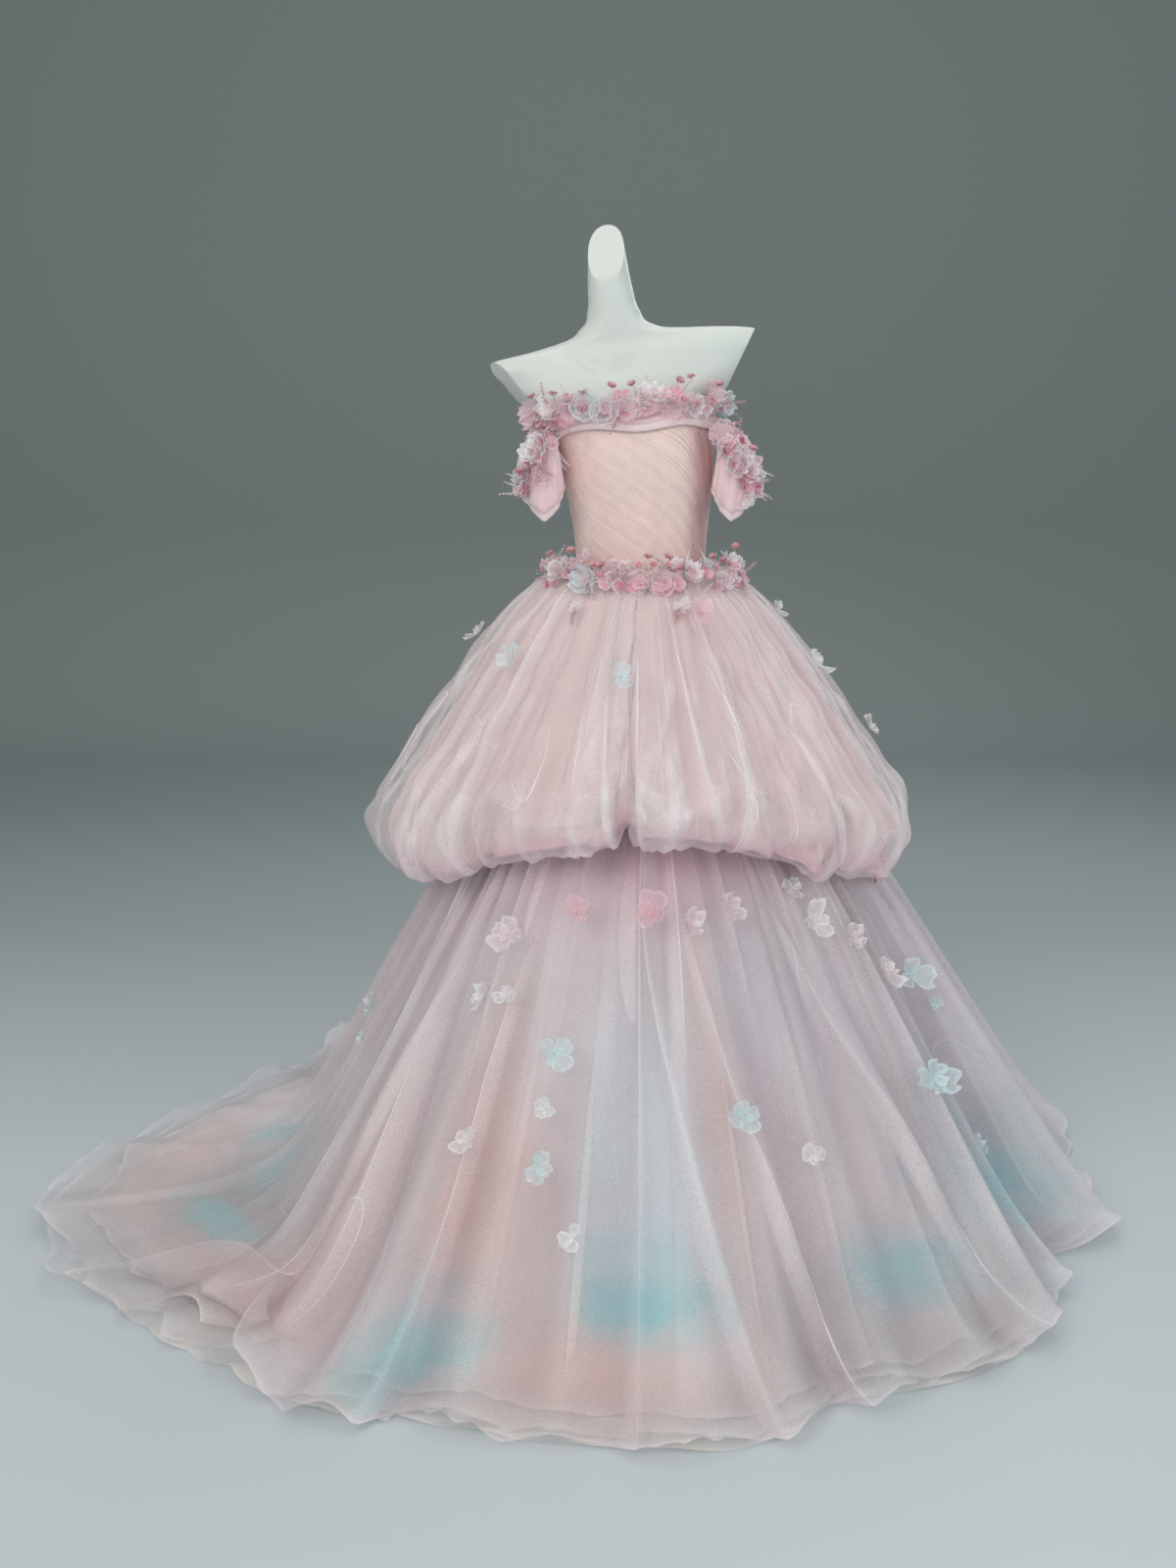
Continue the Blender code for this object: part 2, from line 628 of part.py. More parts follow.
def tube(name, rings, colour):
    """A closed skin over a row of rings, with flat ends."""
    builder = bmesh.new()
    made = [[builder.verts.new(point) for point in ring] for ring in rings]
    count = len(made[0])
    for low, high in zip(made, made[1:]):
        for j in range(count):
            k = (j + 1) % count
            builder.faces.new((low[j], low[k], high[k], high[j]))
    builder.faces.new(made[0])
    builder.faces.new(made[-1])
    return object_from(name, builder, colour)


def end_shift(at, first, last, gap):
    """Half a seam's gap, forwards at the first place and backwards at the last."""
    if abs(at - first) < 1e-6:
        return gap / 2
    return -gap / 2 if abs(at - last) < 1e-6 else 0.0


def panel_grids(surface, columns_at, rows_at, thickness):
    """Outer and inner grids of one panel. Its end columns move in by half the seam gap, along the cloth."""
    outer, inner = [], []
    for v in rows_at:
        outer_row, inner_row = [], []
        for u in columns_at:
            inside = min(max(v, 0.004), 0.996)
            normal = normal_of(surface, u, inside, 0.4, 0.004)
            if np.dot(normal, direction(u) + np.array((0, 0, 0.4))) < 0:
                normal = -normal
            across = unit(surface(u + 0.4, v) - surface(u - 0.4, v))
            point = surface(u, v) + across * end_shift(u, columns_at[0], columns_at[-1], SEAM_GAP)
            outer_row.append(point)
            inner_row.append(point - normal * thickness)
        outer.append(outer_row)
        inner.append(inner_row)
    return outer, inner


# ---------------------------------------------------------------- dress form


def build_form():
    angles = np.arange(FORM_SIDES) * 360 / FORM_SIDES
    levels = sorted(column(FORM, "level") + list(BUST_LEVELS))
    torso = tube("form_torso", [[form_point(angle, level) for angle in angles] for level in levels], FORM_WHITE)
    for cut in ARM_CUTS:
        trim(torso, cut)
    torso.data.shade_smooth()
    torso.data.set_sharp_from_angle(angle=math.radians(40))


def trim(target, cut):
    """Cuts the target flat with a box that starts at the cut's point and faces the way the cut does."""
    bpy.ops.mesh.primitive_cube_add(size=1)
    cutter = bpy.context.active_object
    cutter.name = "arm_cutter"
    for owner in cutter.users_collection:
        owner.objects.unlink(cutter)
    cutters.objects.link(cutter)
    facing = Vector(cut.facing).normalized()
    upright = facing.cross(Vector((0.0, 1.0, 0.0))).cross(facing).normalized()
    turned = Matrix((upright, facing.cross(upright), facing)).transposed().to_4x4()
    size = Matrix.Diagonal((ARM_CUT_BOX[0], ARM_CUT_BOX[1], ARM_CUT_BOX[2], 1.0))
    cutter.matrix_world = Matrix.Translation(Vector(cut.point) + facing * ARM_CUT_BOX[2] / 2) @ turned @ size
    cutter.hide_render = True
    cutter.display_type = "WIRE"
    boolean = target.modifiers.new("arm cut", "BOOLEAN")
    boolean.operation = "DIFFERENCE"
    boolean.solver = "EXACT"
    boolean.object = cutter


def cylinder(name, radius, low, high, colour, sides, bevel=0.0):
    bpy.ops.mesh.primitive_cylinder_add(vertices=sides, radius=radius, depth=high - low)
    made = bpy.context.active_object
    made.name = name
    made.data.name = name
    for owner in made.users_collection:
        owner.objects.unlink(made)
    collection.objects.link(made)
    made.location = (0.0, 0.0, (low + high) / 2)
    made.parent = gown
    made.data.materials.append(material_of(colour))
    if bevel:
        rounding = made.modifiers.new("rounded edge", "BEVEL")
        rounding.width = bevel
        rounding.segments = 1
        rounding.limit_method = "ANGLE"
        rounding.angle_limit = math.radians(60)
    made.data.shade_smooth()
    made.data.set_sharp_from_angle(angle=math.radians(50))
    return made


def build_stand():
    cylinder("form_base", BASE_RADIUS, 0.0, BASE_THICKNESS, STAND_METAL, sides=36, bevel=BASE_EDGE)
    low, high = BASE_THICKNESS + TOUCH_GAP, FORM[0].level - TOUCH_GAP
    cylinder("form_pole", POLE_RADIUS, low, high, STAND_METAL, sides=16)


# ---------------------------------------------------------------- bodice, band and sleeves


def pleat_height(share):
    """A knife pleat: it rises over most of its pitch, then drops."""
    share = share % 1.0
    return BODICE_PLEAT_DEPTH * (share / PLEAT_PEAK if share < PLEAT_PEAK else (1 - share) / (1 - PLEAT_PEAK))


def girth(start, end, level):
    """How long the form's section is between two angles."""
    points = [form_point(angle, level) for angle in np.linspace(start, end, 13)]
    return sum(float(np.linalg.norm(after - before)) for before, after in zip(points, points[1:]))


def pleat_rows(piece, width, height):
    """Where the ridges and troughs lie, measured square to the pleats from the panel's lower corner."""
    sin, cos = math.sin(math.radians(piece.slope)), math.cos(math.radians(piece.slope))
    whole = width * sin + height * cos
    end = 0.6 * PLEAT_ROWS_APART
    rows = {end, whole - end, height * cos, width * sin}
    for k in range(int(whole / piece.pitch) + 1):
        for share in (0.0, PLEAT_PEAK):
            row = (k + share) * piece.pitch
            apart = all(abs(row - other) > PLEAT_ROWS_APART for other in rows)
            if apart and PLEAT_ROWS_APART < row < whole - PLEAT_ROWS_APART:
                rows.add(row)
    return sorted(rows)


def bodice_panel(piece):
    """A panel whose grid follows its diagonal pleats: each row of points runs along one ridge or trough."""
    width = girth(piece.start, piece.end, (BODICE_BOTTOM + BODICE_TOP) / 2)
    height = BODICE_TOP - BODICE_BOTTOM
    sin, cos = math.sin(math.radians(piece.slope)), math.cos(math.radians(piece.slope))
    outer, inner = [], []
    for row in pleat_rows(piece, width, height):
        first = (0.0, row / cos) if row <= height * cos else ((row - height * cos) / sin, height)
        last = (row / sin, 0.0) if row <= width * sin else (width, (row - width * sin) / cos)
        outer_row, inner_row = [], []
        for share in np.linspace(0, 1, piece.segments + 1):
            x = first[0] + (last[0] - first[0]) * share
            y = first[1] + (last[1] - first[1]) * share
            across = 1 - x / width if piece.mirrored else x / width
            angle = piece.start + (piece.end - piece.start) * across
            level = BODICE_BOTTOM + y
            shift = end_shift(across, 0.0, 1.0, BODICE_SEAM_GAP)
            tangent = unit(form_point(angle + 0.5, level) - form_point(angle - 0.5, level))
            lift = BODICE_CLEARANCE + BODICE_CLOTH + pleat_height(row / piece.pitch)
            outer_row.append(form_offset(angle, level, lift) + tangent * shift)
            inner_row.append(form_offset(angle, level, BODICE_CLEARANCE) + tangent * shift)
        outer.append(outer_row)
        inner.append(inner_row)
    wall(piece.name, outer, inner, BODICE_PINK)


def build_band():
    for piece in BAND_PIECES:
        outer, inner = [], []
        for section in BAND:
            outer_row, inner_row = [], []
            for angle in np.linspace(piece.start, piece.end, piece.columns):
                front = max(0.0, -math.sin(math.radians(angle)))
                level = section.level + BAND_WAVE * math.sin(math.radians(5 * angle)) * front
                tangent = unit(form_point(angle + 0.5, level) - form_point(angle - 0.5, level))
                shift = end_shift(angle, piece.start, piece.end, SEAM_GAP)
                outer_row.append(form_offset(angle, level, section.off) + tangent * shift)
                inner_row.append(form_offset(angle, level, section.off - BAND_CLOTH) + tangent * shift)
            outer.append(outer_row)
            inner.append(inner_row)
        wall(piece.name, outer, inner, BAND_PINK)


def build_sleeve(name, side):
    outer, inner = [], []
    for share in SLEEVE_ROWS:
        outer_row, inner_row = [], []
        for j in range(SLEEVE_SIDES):
            angle = j * 360 / SLEEVE_SIDES
            along = sleeve_point(side, angle + 2, share) - sleeve_point(side, angle - 2, share)
            normal = unit(np.cross(along, (0.0, 0.0, side)))
            point = sleeve_point(side, angle, share)
            outer_row.append(point)
            inner_row.append(point - normal * SLEEVE_CLOTH)
        outer.append(outer_row)
        inner.append(inner_row)
    wall(name, outer, inner, BAND_PINK, closed=True)


# ---------------------------------------------------------------- skirts


def fold_columns(folds, start, end):
    """The angles of a panel's columns: its ends, and each fold's crest, flanks and the valley after it."""
    ordered = sorted(folds, key=lambda fold: (fold.angle - start) % 360)
    crests = [start + (fold.angle - start) % 360 for fold in ordered]
    wanted = []
    for i, (fold, crest) in enumerate(zip(ordered, crests)):
        following = crests[i + 1] if i + 1 < len(crests) else crests[0] + 360
        wanted += [crest - 0.5 * fold.width, crest, crest + 0.5 * fold.width, (crest + following) / 2]
    wanted = [start + (angle - start) % 360 for angle in wanted]
    angles = [start]
    for angle in sorted(wanted):
        if angles[-1] + COLUMNS_APART < angle < end - COLUMNS_APART:
            angles.append(angle)
    return angles + [end]


def build_panels(panels, surface, folds, rows_at, thickness, colour):
    for panel in panels:
        angles = fold_columns(folds, panel.start, panel.end)
        outer, inner = panel_grids(surface, angles, rows_at, thickness)
        wall(panel.name, outer, inner, colour)


def build_ivory():
    """A flat frill on the floor under the hem, showing past it."""
    for strip in IVORY:
        outer, inner = [], []
        angles = np.linspace(strip.start, strip.end, round((strip.end - strip.start) / IVORY_STEP) + 1)
        middle = (strip.start + strip.end) / 2
        half = (strip.end - strip.start) / 2
        for past in (1.0, 0.0):
            outer_row, inner_row = [], []
            for angle in angles:
                wave = 0.35 * math.sin(math.radians(17 * angle)) + 0.25 * math.sin(math.radians(29 * angle))
                share = 1 - abs(turn_between(angle, middle)) / (half + 4)
                out = strip.past_hem * (0.5 + 0.8 * share + wave * share)
                reach = hem_row(angle)[0] + (out if past else -IVORY_TUCK)
                flat = direction(angle) * reach
                outer_row.append(flat + np.array((0.0, 0.0, IVORY_TOP)))
                inner_row.append(flat + np.array((0.0, 0.0, IVORY_TOP - IVORY_CLOTH)))
            outer.append(outer_row)
            inner.append(inner_row)
        wall(strip.name, outer, inner, IVORY_TULLE)


# ---------------------------------------------------------------- flowers


def garland(row, path):
    """A garland of flowers as one lumpy rope: each flower is a swelling with lobes. path(t) gives a point
    and the way out from the cloth."""
    made = []
    for i in range(row.rings + 1):
        t = i / row.rings
        middle, out = path(t)
        ahead = unit(path(min(t + 0.01, 1.0))[0] - path(max(t - 0.01, 0.0))[0])
        out = unit(out - ahead * np.dot(out, ahead))
        up = np.cross(ahead, out)
        place = t * row.flowers
        swell = GARLAND_NARROWEST + (1 - GARLAND_NARROWEST) * abs(math.sin(math.pi * place + 0.4))
        end = min(1.0, GARLAND_END + 5.5 * t, GARLAND_END + 5.5 * (1 - t))
        ring = []
        for j in range(row.sides):
            turn = 2 * math.pi * j / row.sides
            lobe = 1 + GARLAND_LOBE_DEPTH * math.cos(GARLAND_LOBES * turn + 1.9 * place)
            size = row.radius * swell * end * lobe
            ring.append(middle + up * math.cos(turn) * size + out * math.sin(turn) * size * row.flatness)
        made.append(ring)
    tube(row.name, made, ROSE_PETAL)


def waist_path(row):
    """Along the front of the waist over the first gathers, dipping in the middle."""

    def path(t):
        angle = WAIST_GARLAND_ANGLES[0] + (WAIST_GARLAND_ANGLES[1] - WAIST_GARLAND_ANGLES[0]) * t
        out = unit(direction(angle) + np.array((0.0, 0.0, 0.75)))
        on_cloth = puff_point(angle, WAIST_GARLAND_AT + WAIST_GARLAND_DIP * bump(t - 0.55, 0.45))
        return on_cloth + out * (row.radius * row.flatness + GARLAND_OFF_CLOTH), out

    return path


def neck_path(row):
    """Along the upper edge of the off-shoulder band."""

    def path(t):
        angle = NECK_GARLAND_ANGLES[0] + (NECK_GARLAND_ANGLES[1] - NECK_GARLAND_ANGLES[0]) * t
        level = NECK_GARLAND_LEVEL + BAND_WAVE * math.sin(9 * t)
        out = normal_of(form_point, angle, level, 0.5, 0.004)
        return form_point(angle, level) + out * NECK_GARLAND_OFF_FORM, out

    return path


def sleeve_path(row):
    """Down the outer front of a sleeve."""
    side = row.side

    def path(t):
        angle = SLEEVE_GARLAND_ANGLE + SLEEVE_GARLAND_SWAY * math.sin(3.4 * t)
        on_cloth = sleeve_point(side, angle, 0.04 + 0.86 * t)
        out = unit(np.array((-side * 0.62, -0.75, 0.22)))
        return on_cloth + out * (row.radius * row.flatness + 0.003), out

    return path


def skin_of(panels):
    """The faces of a skirt's panels, to seat the flowers on."""
    points, faces = [], []
    for panel in panels:
        mesh = bpy.data.objects[panel.name].data
        faces += [[len(points) + corner for corner in face.vertices] for face in mesh.polygons]
        points += [vertex.co.copy() for vertex in mesh.vertices]
    return BVHTree.FromPolygons(points, faces)


def seat(skin, surface, blossom):
    """Where a flower sits: a point, the way out, and how far out it stands to clear the folds round it."""
    middle = surface(blossom.angle, blossom.at)
    out = normal_of(surface, blossom.angle, blossom.at, 1.5, 0.02)
    if np.dot(out, direction(blossom.angle)) < 0:
        out = -out
    facing = Vector(out).to_track_quat("Z", "Y").to_matrix().to_4x4()
    lift = 0.0
    for k in range(SEAT_RAYS):
        turn = 2 * math.pi * k / SEAT_RAYS
        for share in (0.3, 0.55, 0.8, 1.0):
            across = blossom.radius * share
            start = facing @ Vector((across * math.cos(turn), across * math.sin(turn), SEAT_RAY))
            hit = skin.ray_cast(Vector(middle) + start, Vector(-out))[3]
            if hit is not None:
                lift = max(lift, SEAT_RAY - hit - BLOSSOM_CUP * across)
    return Matrix.Translation(Vector(middle + out * (lift + BLOSSOM_GAP + BLOSSOM_CLOTH))) @ facing


def build_blossom(blossom, skin, surface):
    """A cupped flower of five petals, its centre nearest to the cloth."""
    rim = []
    for k in range(BLOSSOM_SPOKES):
        turn = 2 * math.pi * k / BLOSSOM_SPOKES
        across = blossom.radius * (1 - BLOSSOM_NOTCH * (0.5 - 0.5 * math.cos(BLOSSOM_PETALS * turn)))
        rim.append(np.array((across * math.cos(turn), across * math.sin(turn), BLOSSOM_CUP * across)))
    builder = bmesh.new()
    rings = []
    for drop in (0.0, -BLOSSOM_CLOTH):
        down = np.array((0.0, 0.0, drop))
        centre = builder.verts.new(down)
        ring = [builder.verts.new(point + down) for point in rim]
        rings.append(ring)
        for j in range(BLOSSOM_SPOKES):
            builder.faces.new((centre, ring[j], ring[(j + 1) % BLOSSOM_SPOKES]))
    for j in range(BLOSSOM_SPOKES):
        k = (j + 1) % BLOSSOM_SPOKES
        builder.faces.new((rings[0][j], rings[0][k], rings[1][k], rings[1][j]))
    made = object_from(blossom.name, builder, blossom.colour)
    made.matrix_world = seat(skin, surface, blossom)


# ---------------------------------------------------------------- the whole gown


for old in list(bpy.data.objects):
    bpy.data.objects.remove(old, do_unlink=True)
collection = bpy.data.collections.new("ball_gown")
bpy.context.scene.collection.children.link(collection)
cutters = bpy.data.collections.new("cutters")
bpy.context.scene.collection.children.link(cutters)
cutters.hide_render = True
gown = bpy.data.objects.new("ball_gown", None)
collection.objects.link(gown)

build_form()
build_stand()
for each in BODICE_PIECES:
    bodice_panel(each)
build_band()
build_sleeve("sleeve_left", 1)
build_sleeve("sleeve_right", -1)
build_panels(OVERSKIRT_PANELS, puff_point, ALL_PUFF_FOLDS, PUFF_ROWS, OVERSKIRT_CLOTH, BLUSH_TULLE)
build_panels(SKIRT_GORES, skirt_point, ALL_SKIRT_FOLDS, SKIRT_ROWS, SKIRT_CLOTH, MIST_TULLE)
build_ivory()
garland(WAIST_GARLAND, waist_path(WAIST_GARLAND))
garland(NECK_GARLAND, neck_path(NECK_GARLAND))
garland(LEFT_GARLAND, sleeve_path(LEFT_GARLAND))
garland(RIGHT_GARLAND, sleeve_path(RIGHT_GARLAND))
skins = {"over": (skin_of(OVERSKIRT_PANELS), puff_point), "under": (skin_of(SKIRT_GORES), skirt_point)}
for each in BLOSSOMS:
    build_blossom(each, *skins[each.skirt])
bpy.context.view_layer.update()
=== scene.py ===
"""The looks of a ball gown on a limbless dress form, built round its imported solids.

Metres, +Z up; the gown faces -Y and stands on its form at the origin. Angles around it are in degrees
from +X, so 270 is the front and 180 is where the train lies. "at" is the share of the way down a skirt.
"""

import bisect
import functools
import math
import random
from collections import namedtuple

import bpy
import numpy as np
from mathutils import Matrix, Vector


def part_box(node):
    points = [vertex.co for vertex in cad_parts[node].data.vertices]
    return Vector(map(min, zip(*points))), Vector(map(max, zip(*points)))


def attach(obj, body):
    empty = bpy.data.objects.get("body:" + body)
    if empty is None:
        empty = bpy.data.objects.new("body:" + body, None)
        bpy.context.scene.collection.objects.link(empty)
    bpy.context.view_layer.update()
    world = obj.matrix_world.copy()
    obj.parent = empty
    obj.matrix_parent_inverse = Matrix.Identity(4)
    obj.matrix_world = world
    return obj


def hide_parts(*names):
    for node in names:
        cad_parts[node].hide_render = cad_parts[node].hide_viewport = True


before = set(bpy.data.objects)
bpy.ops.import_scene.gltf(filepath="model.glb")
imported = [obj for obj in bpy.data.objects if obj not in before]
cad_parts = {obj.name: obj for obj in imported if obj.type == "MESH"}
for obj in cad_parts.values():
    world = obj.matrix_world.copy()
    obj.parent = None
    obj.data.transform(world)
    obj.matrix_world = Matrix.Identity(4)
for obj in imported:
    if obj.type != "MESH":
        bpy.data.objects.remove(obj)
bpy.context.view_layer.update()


def table(kind, *rows):
    """The rows of a table, with its columns named."""
    return [kind(*row) for row in rows]



# ---------------------------------------------------------------- sizes shared with the solids

WAIST_LEVEL = 1.080
BODICE_CLEARANCE = 0.0036
BODICE_CLOTH = 0.0018
BODICE_BOTTOM = 1.082
BODICE_TOP = 1.318
FLOOR_CLEARANCE = 0.0045
SKIRT_TOP = 1.072
SKIRT_TOP_CLEARANCE = 0.0055
OVERSKIRT_TOP = 1.0785
OVERSKIRT_TOP_CLEARANCE = 0.0095
OVER_UNDER_CLEARANCE = 0.012
WAIST_CENTRE_X = 0.020
BAND_WAVE = 0.004
ARM_CUT_BOX = (0.30, 0.16, 0.12)
WAIST_GARLAND_ANGLES = (196.0, 350.0)
WAIST_GARLAND_AT = 0.095
WAIST_GARLAND_DIP = 0.020
NECK_GARLAND_ANGLES = (206.0, 336.0)
NECK_GARLAND_LEVEL = 1.334

# The dress form, bottom to top: each section's middle, its half width, how far it reaches to the front and
# back, how far the bust stands out, how much it rises to the right, and how much it rises to the back.
FormSection = namedtuple("FormSection", "level centre_x half_width front back bust tilt slant")
FORM = table(
    FormSection,
    (0.860, 0.020, 0.148, 0.094, 0.108, 0.000, 0.00, 0.00),
    (0.910, 0.020, 0.152, 0.096, 0.112, 0.000, 0.00, 0.00),
    (0.970, 0.020, 0.142, 0.093, 0.104, 0.000, 0.00, 0.00),
    (1.030, 0.020, 0.119, 0.084, 0.085, 0.000, 0.00, 0.00),
    (1.080, 0.019, 0.1035, 0.077, 0.074, 0.000, 0.00, 0.00),
    (1.130, 0.018, 0.1055, 0.079, 0.075, 0.000, 0.00, 0.00),
    (1.180, 0.016, 0.112, 0.085, 0.081, 0.004, 0.00, 0.00),
    (1.225, 0.013, 0.118, 0.090, 0.086, 0.013, 0.00, 0.00),
    (1.265, 0.010, 0.122, 0.095, 0.089, 0.016, 0.01, 0.00),
    (1.300, 0.004, 0.128, 0.095, 0.091, 0.010, 0.03, 0.00),
    (1.330, -0.008, 0.146, 0.089, 0.090, 0.004, 0.06, 0.00),
    (1.360, -0.010, 0.176, 0.080, 0.084, 0.000, 0.09, 0.00),
    (1.395, -0.007, 0.206, 0.066, 0.070, 0.000, 0.11, 0.00),
    (1.423, -0.011, 0.226, 0.052, 0.056, 0.000, 0.124, 0.00),
    (1.436, -0.014, 0.200, 0.043, 0.049, 0.000, 0.13, 0.00),
    (1.442, -0.016, 0.150, 0.041, 0.048, 0.000, 0.14, 0.00),
    (1.449, -0.019, 0.094, 0.042, 0.048, 0.000, 0.13, 0.00),
    (1.463, -0.024, 0.058, 0.043, 0.050, 0.000, 0.07, 0.00),
    (1.488, -0.029, 0.042, 0.043, 0.048, 0.000, 0.03, 0.00),
    (1.520, -0.034, 0.0365, 0.042, 0.044, 0.000, 0.00, 0.30),
    (1.550, -0.038, 0.0325, 0.041, 0.040, 0.000, 0.08, 0.80),
    (1.577, -0.041, 0.0290, 0.040, 0.039, 0.000, 0.15, 1.19),
)
BUST_APART = 0.055
BUST_SPREAD = 0.046
FORM_SQUARENESS = 2.25

# The flat cuts where the arms would start: a point on each cut and the way it faces.
ArmCut = namedtuple("ArmCut", "point facing")
ARM_CUTS = table(
    ArmCut,
    ((-0.184, 0.0, 1.3480), (-0.744, -0.342, -0.574)),
    ((0.1745, 0.0, 1.402), (0.900, -0.080, -0.425)),
)

# The hem seen from above: how far it reaches, where the falling cloth lands, and how softly it lands.
HemRow = namedtuple("HemRow", "angle reach landing softness")
HEM = table(
    HemRow,
    (0, 0.800, 0.790, 0.05),
    (30, 0.780, 0.760, 0.06),
    (60, 0.770, 0.750, 0.06),
    (90, 0.770, 0.745, 0.07),
    (120, 0.770, 0.720, 0.08),
    (140, 0.790, 0.680, 0.11),
    (156, 0.760, 0.620, 0.14),
    (168, 0.830, 0.600, 0.15),
    (181, 0.945, 0.600, 0.17),
    (192, 1.020, 0.600, 0.19),
    (203, 0.985, 0.620, 0.18),
    (215, 0.900, 0.670, 0.15),
    (228, 0.860, 0.740, 0.10),
    (242, 0.840, 0.800, 0.06),
    (256, 0.828, 0.818, 0.04),
    (270, 0.832, 0.824, 0.04),
    (281, 0.838, 0.830, 0.04),
    (290, 0.790, 0.782, 0.04),
    (302, 0.820, 0.812, 0.04),
    (312, 0.835, 0.825, 0.04),
    (321, 0.800, 0.790, 0.04),
    (329, 0.760, 0.752, 0.04),
    (338, 0.850, 0.820, 0.06),
    (347, 0.800, 0.785, 0.05),
)

# Standing folds of the underskirt: rounded ridges that widen from where they start to the hem.
Fold = namedtuple("Fold", "angle width depth start")
SKIRT_FOLDS = table(
    Fold,
    (160, 7.0, 0.024, 0.25),
    (172, 6.5, 0.022, 0.35),
    (184, 7.0, 0.024, 0.30),
    (196, 7.5, 0.032, 0.35),
    (208, 7.0, 0.028, 0.25),
    (219, 6.0, 0.040, 0.20),
    (230, 6.5, 0.046, 0.15),
    (241, 5.5, 0.034, 0.20),
    (252, 6.5, 0.040, 0.15),
    (262, 4.5, 0.028, 0.30),
    (274, 8.0, 0.034, 0.10),
    (286, 5.0, 0.030, 0.25),
    (296, 6.0, 0.044, 0.15),
    (306, 5.5, 0.036, 0.20),
    (316, 6.0, 0.046, 0.15),
    (326, 5.0, 0.030, 0.30),
    (338, 6.5, 0.050, 0.15),
    (349, 6.0, 0.032, 0.25),
)
BACK_FOLD_ANGLES = (0.0, 148.0)
BACK_FOLD_COUNT = 13

# The puffed overskirt from the waist to its tucked hem: drop is the share of the height that has
# fallen, reach the share of the way out to the widest ring, gather how much its folds stand out.
PuffSection = namedtuple("PuffSection", "at drop reach gather")
PUFF = table(
    PuffSection,
    (0.00, 0.000, 0.000, 0.08),
    (0.12, 0.040, 0.160, 0.25),
    (0.28, 0.200, 0.395, 0.50),
    (0.44, 0.400, 0.620, 0.80),
    (0.60, 0.610, 0.830, 1.00),
    (0.74, 0.790, 0.985, 1.00),
    (0.85, 0.920, 1.000, 0.85),
    (0.94, 0.995, 0.905, 0.55),
    (1.00, 0.975, 0.800, 0.25),
)
PuffRow = namedtuple("PuffRow", "angle reach hem")
PUFF_HEM = table(
    PuffRow,
    (0, 0.458, 0.562),
    (45, 0.446, 0.570),
    (90, 0.442, 0.575),
    (135, 0.440, 0.570),
    (180, 0.440, 0.562),
    (215, 0.436, 0.596),
    (240, 0.424, 0.650),
    (270, 0.412, 0.690),
    (300, 0.426, 0.655),
    (325, 0.446, 0.596),
)
PUFF_FOLDS = table(
    Fold,
    (154, 9.0, 0.026, 0.15),
    (170, 8.0, 0.022, 0.30),
    (186, 9.0, 0.030, 0.10),
    (201, 7.0, 0.022, 0.25),
    (214, 8.0, 0.034, 0.10),
    (227, 6.0, 0.024, 0.30),
    (239, 7.0, 0.030, 0.15),
    (250, 5.0, 0.022, 0.25),
    (260, 6.0, 0.036, 0.20),
    (274, 6.0, 0.040, 0.10),
    (285, 5.0, 0.024, 0.30),
    (295, 6.0, 0.034, 0.15),
    (307, 7.0, 0.030, 0.10),
    (320, 6.5, 0.028, 0.25),
    (333, 8.0, 0.036, 0.10),
    (348, 8.0, 0.026, 0.20),
)
BACK_PUFF_ANGLES = (2.0, 140.0)
BACK_PUFF_COUNT = 11

# Where the bubble is tacked up: each tack lifts the hem and pulls it in.
Tack = namedtuple("Tack", "angle width lift")
TACKS = table(
    Tack,
    (205, 6.0, 0.020),
    (233, 5.0, 0.022),
    (267, 4.5, 0.042),
    (290, 5.0, 0.020),
    (313, 5.0, 0.034),
    (346, 6.0, 0.022),
    (25, 7.0, 0.026),
    (62, 7.0, 0.034),
    (98, 7.0, 0.026),
    (134, 7.0, 0.034),
    (168, 6.0, 0.024),
)

# The left loop sleeve, top edge to bottom edge: how far its inner side stands off the form, how wide
# the loop is from there, half the angle it spans round the form, and how far its point hangs down.
# The right one mirrors it.
SleeveSection = namedtuple("SleeveSection", "at level near width half_span droop")
SLEEVE = table(
    SleeveSection,
    (0.00, 1.291, 0.0215, 0.026, 18.0, 0.000),
    (0.24, 1.277, 0.0215, 0.041, 22.0, 0.006),
    (0.50, 1.254, 0.0210, 0.056, 25.0, 0.020),
    (0.76, 1.228, 0.0200, 0.064, 25.0, 0.036),
    (1.00, 1.206, 0.0200, 0.060, 23.0, 0.052),
)
SLEEVE_MIDDLE = 195.0
SLEEVE_POINT = 232.0
BODY_MIDDLE_X = 0.011


def column(rows, name):
    return [getattr(row, name) for row in rows]


class Curve:
    """A smooth curve through the values, level beyond its ends."""

    def __init__(self, keys, values):
        self.keys = [float(key) for key in keys]
        self.values = [float(value) for value in values]
        self.slopes = [float(slope) for slope in np.gradient(self.values, self.keys)]

    def __call__(self, at):
        keys = self.keys
        at = min(max(at, keys[0]), keys[-1])
        low = min(bisect.bisect_right(keys, at) - 1, len(keys) - 2)
        span = keys[low + 1] - keys[low]
        t = (at - keys[low]) / span
        back = t * t * (3 - 2 * t)
        ends = (1 - back) * self.values[low] + back * self.values[low + 1]
        first, last = self.slopes[low], self.slopes[low + 1]
        return ends + span * t * (1 - t) * ((1 - t) * first - t * last)


def level_curves(rows):
    """A curve over a table's first column for each of its other columns."""
    keys = [row[0] for row in rows]
    return {name: Curve(keys, column(rows, name)) for name in rows[0]._fields[1:]}


def ring_curves(rows):
    """The same for a table of angles, which closes on itself."""
    before = [row._replace(angle=row.angle - 360) for row in rows[-2:]]
    after = [row._replace(angle=row.angle + 360) for row in rows[:2]]
    return level_curves(before + rows + after)


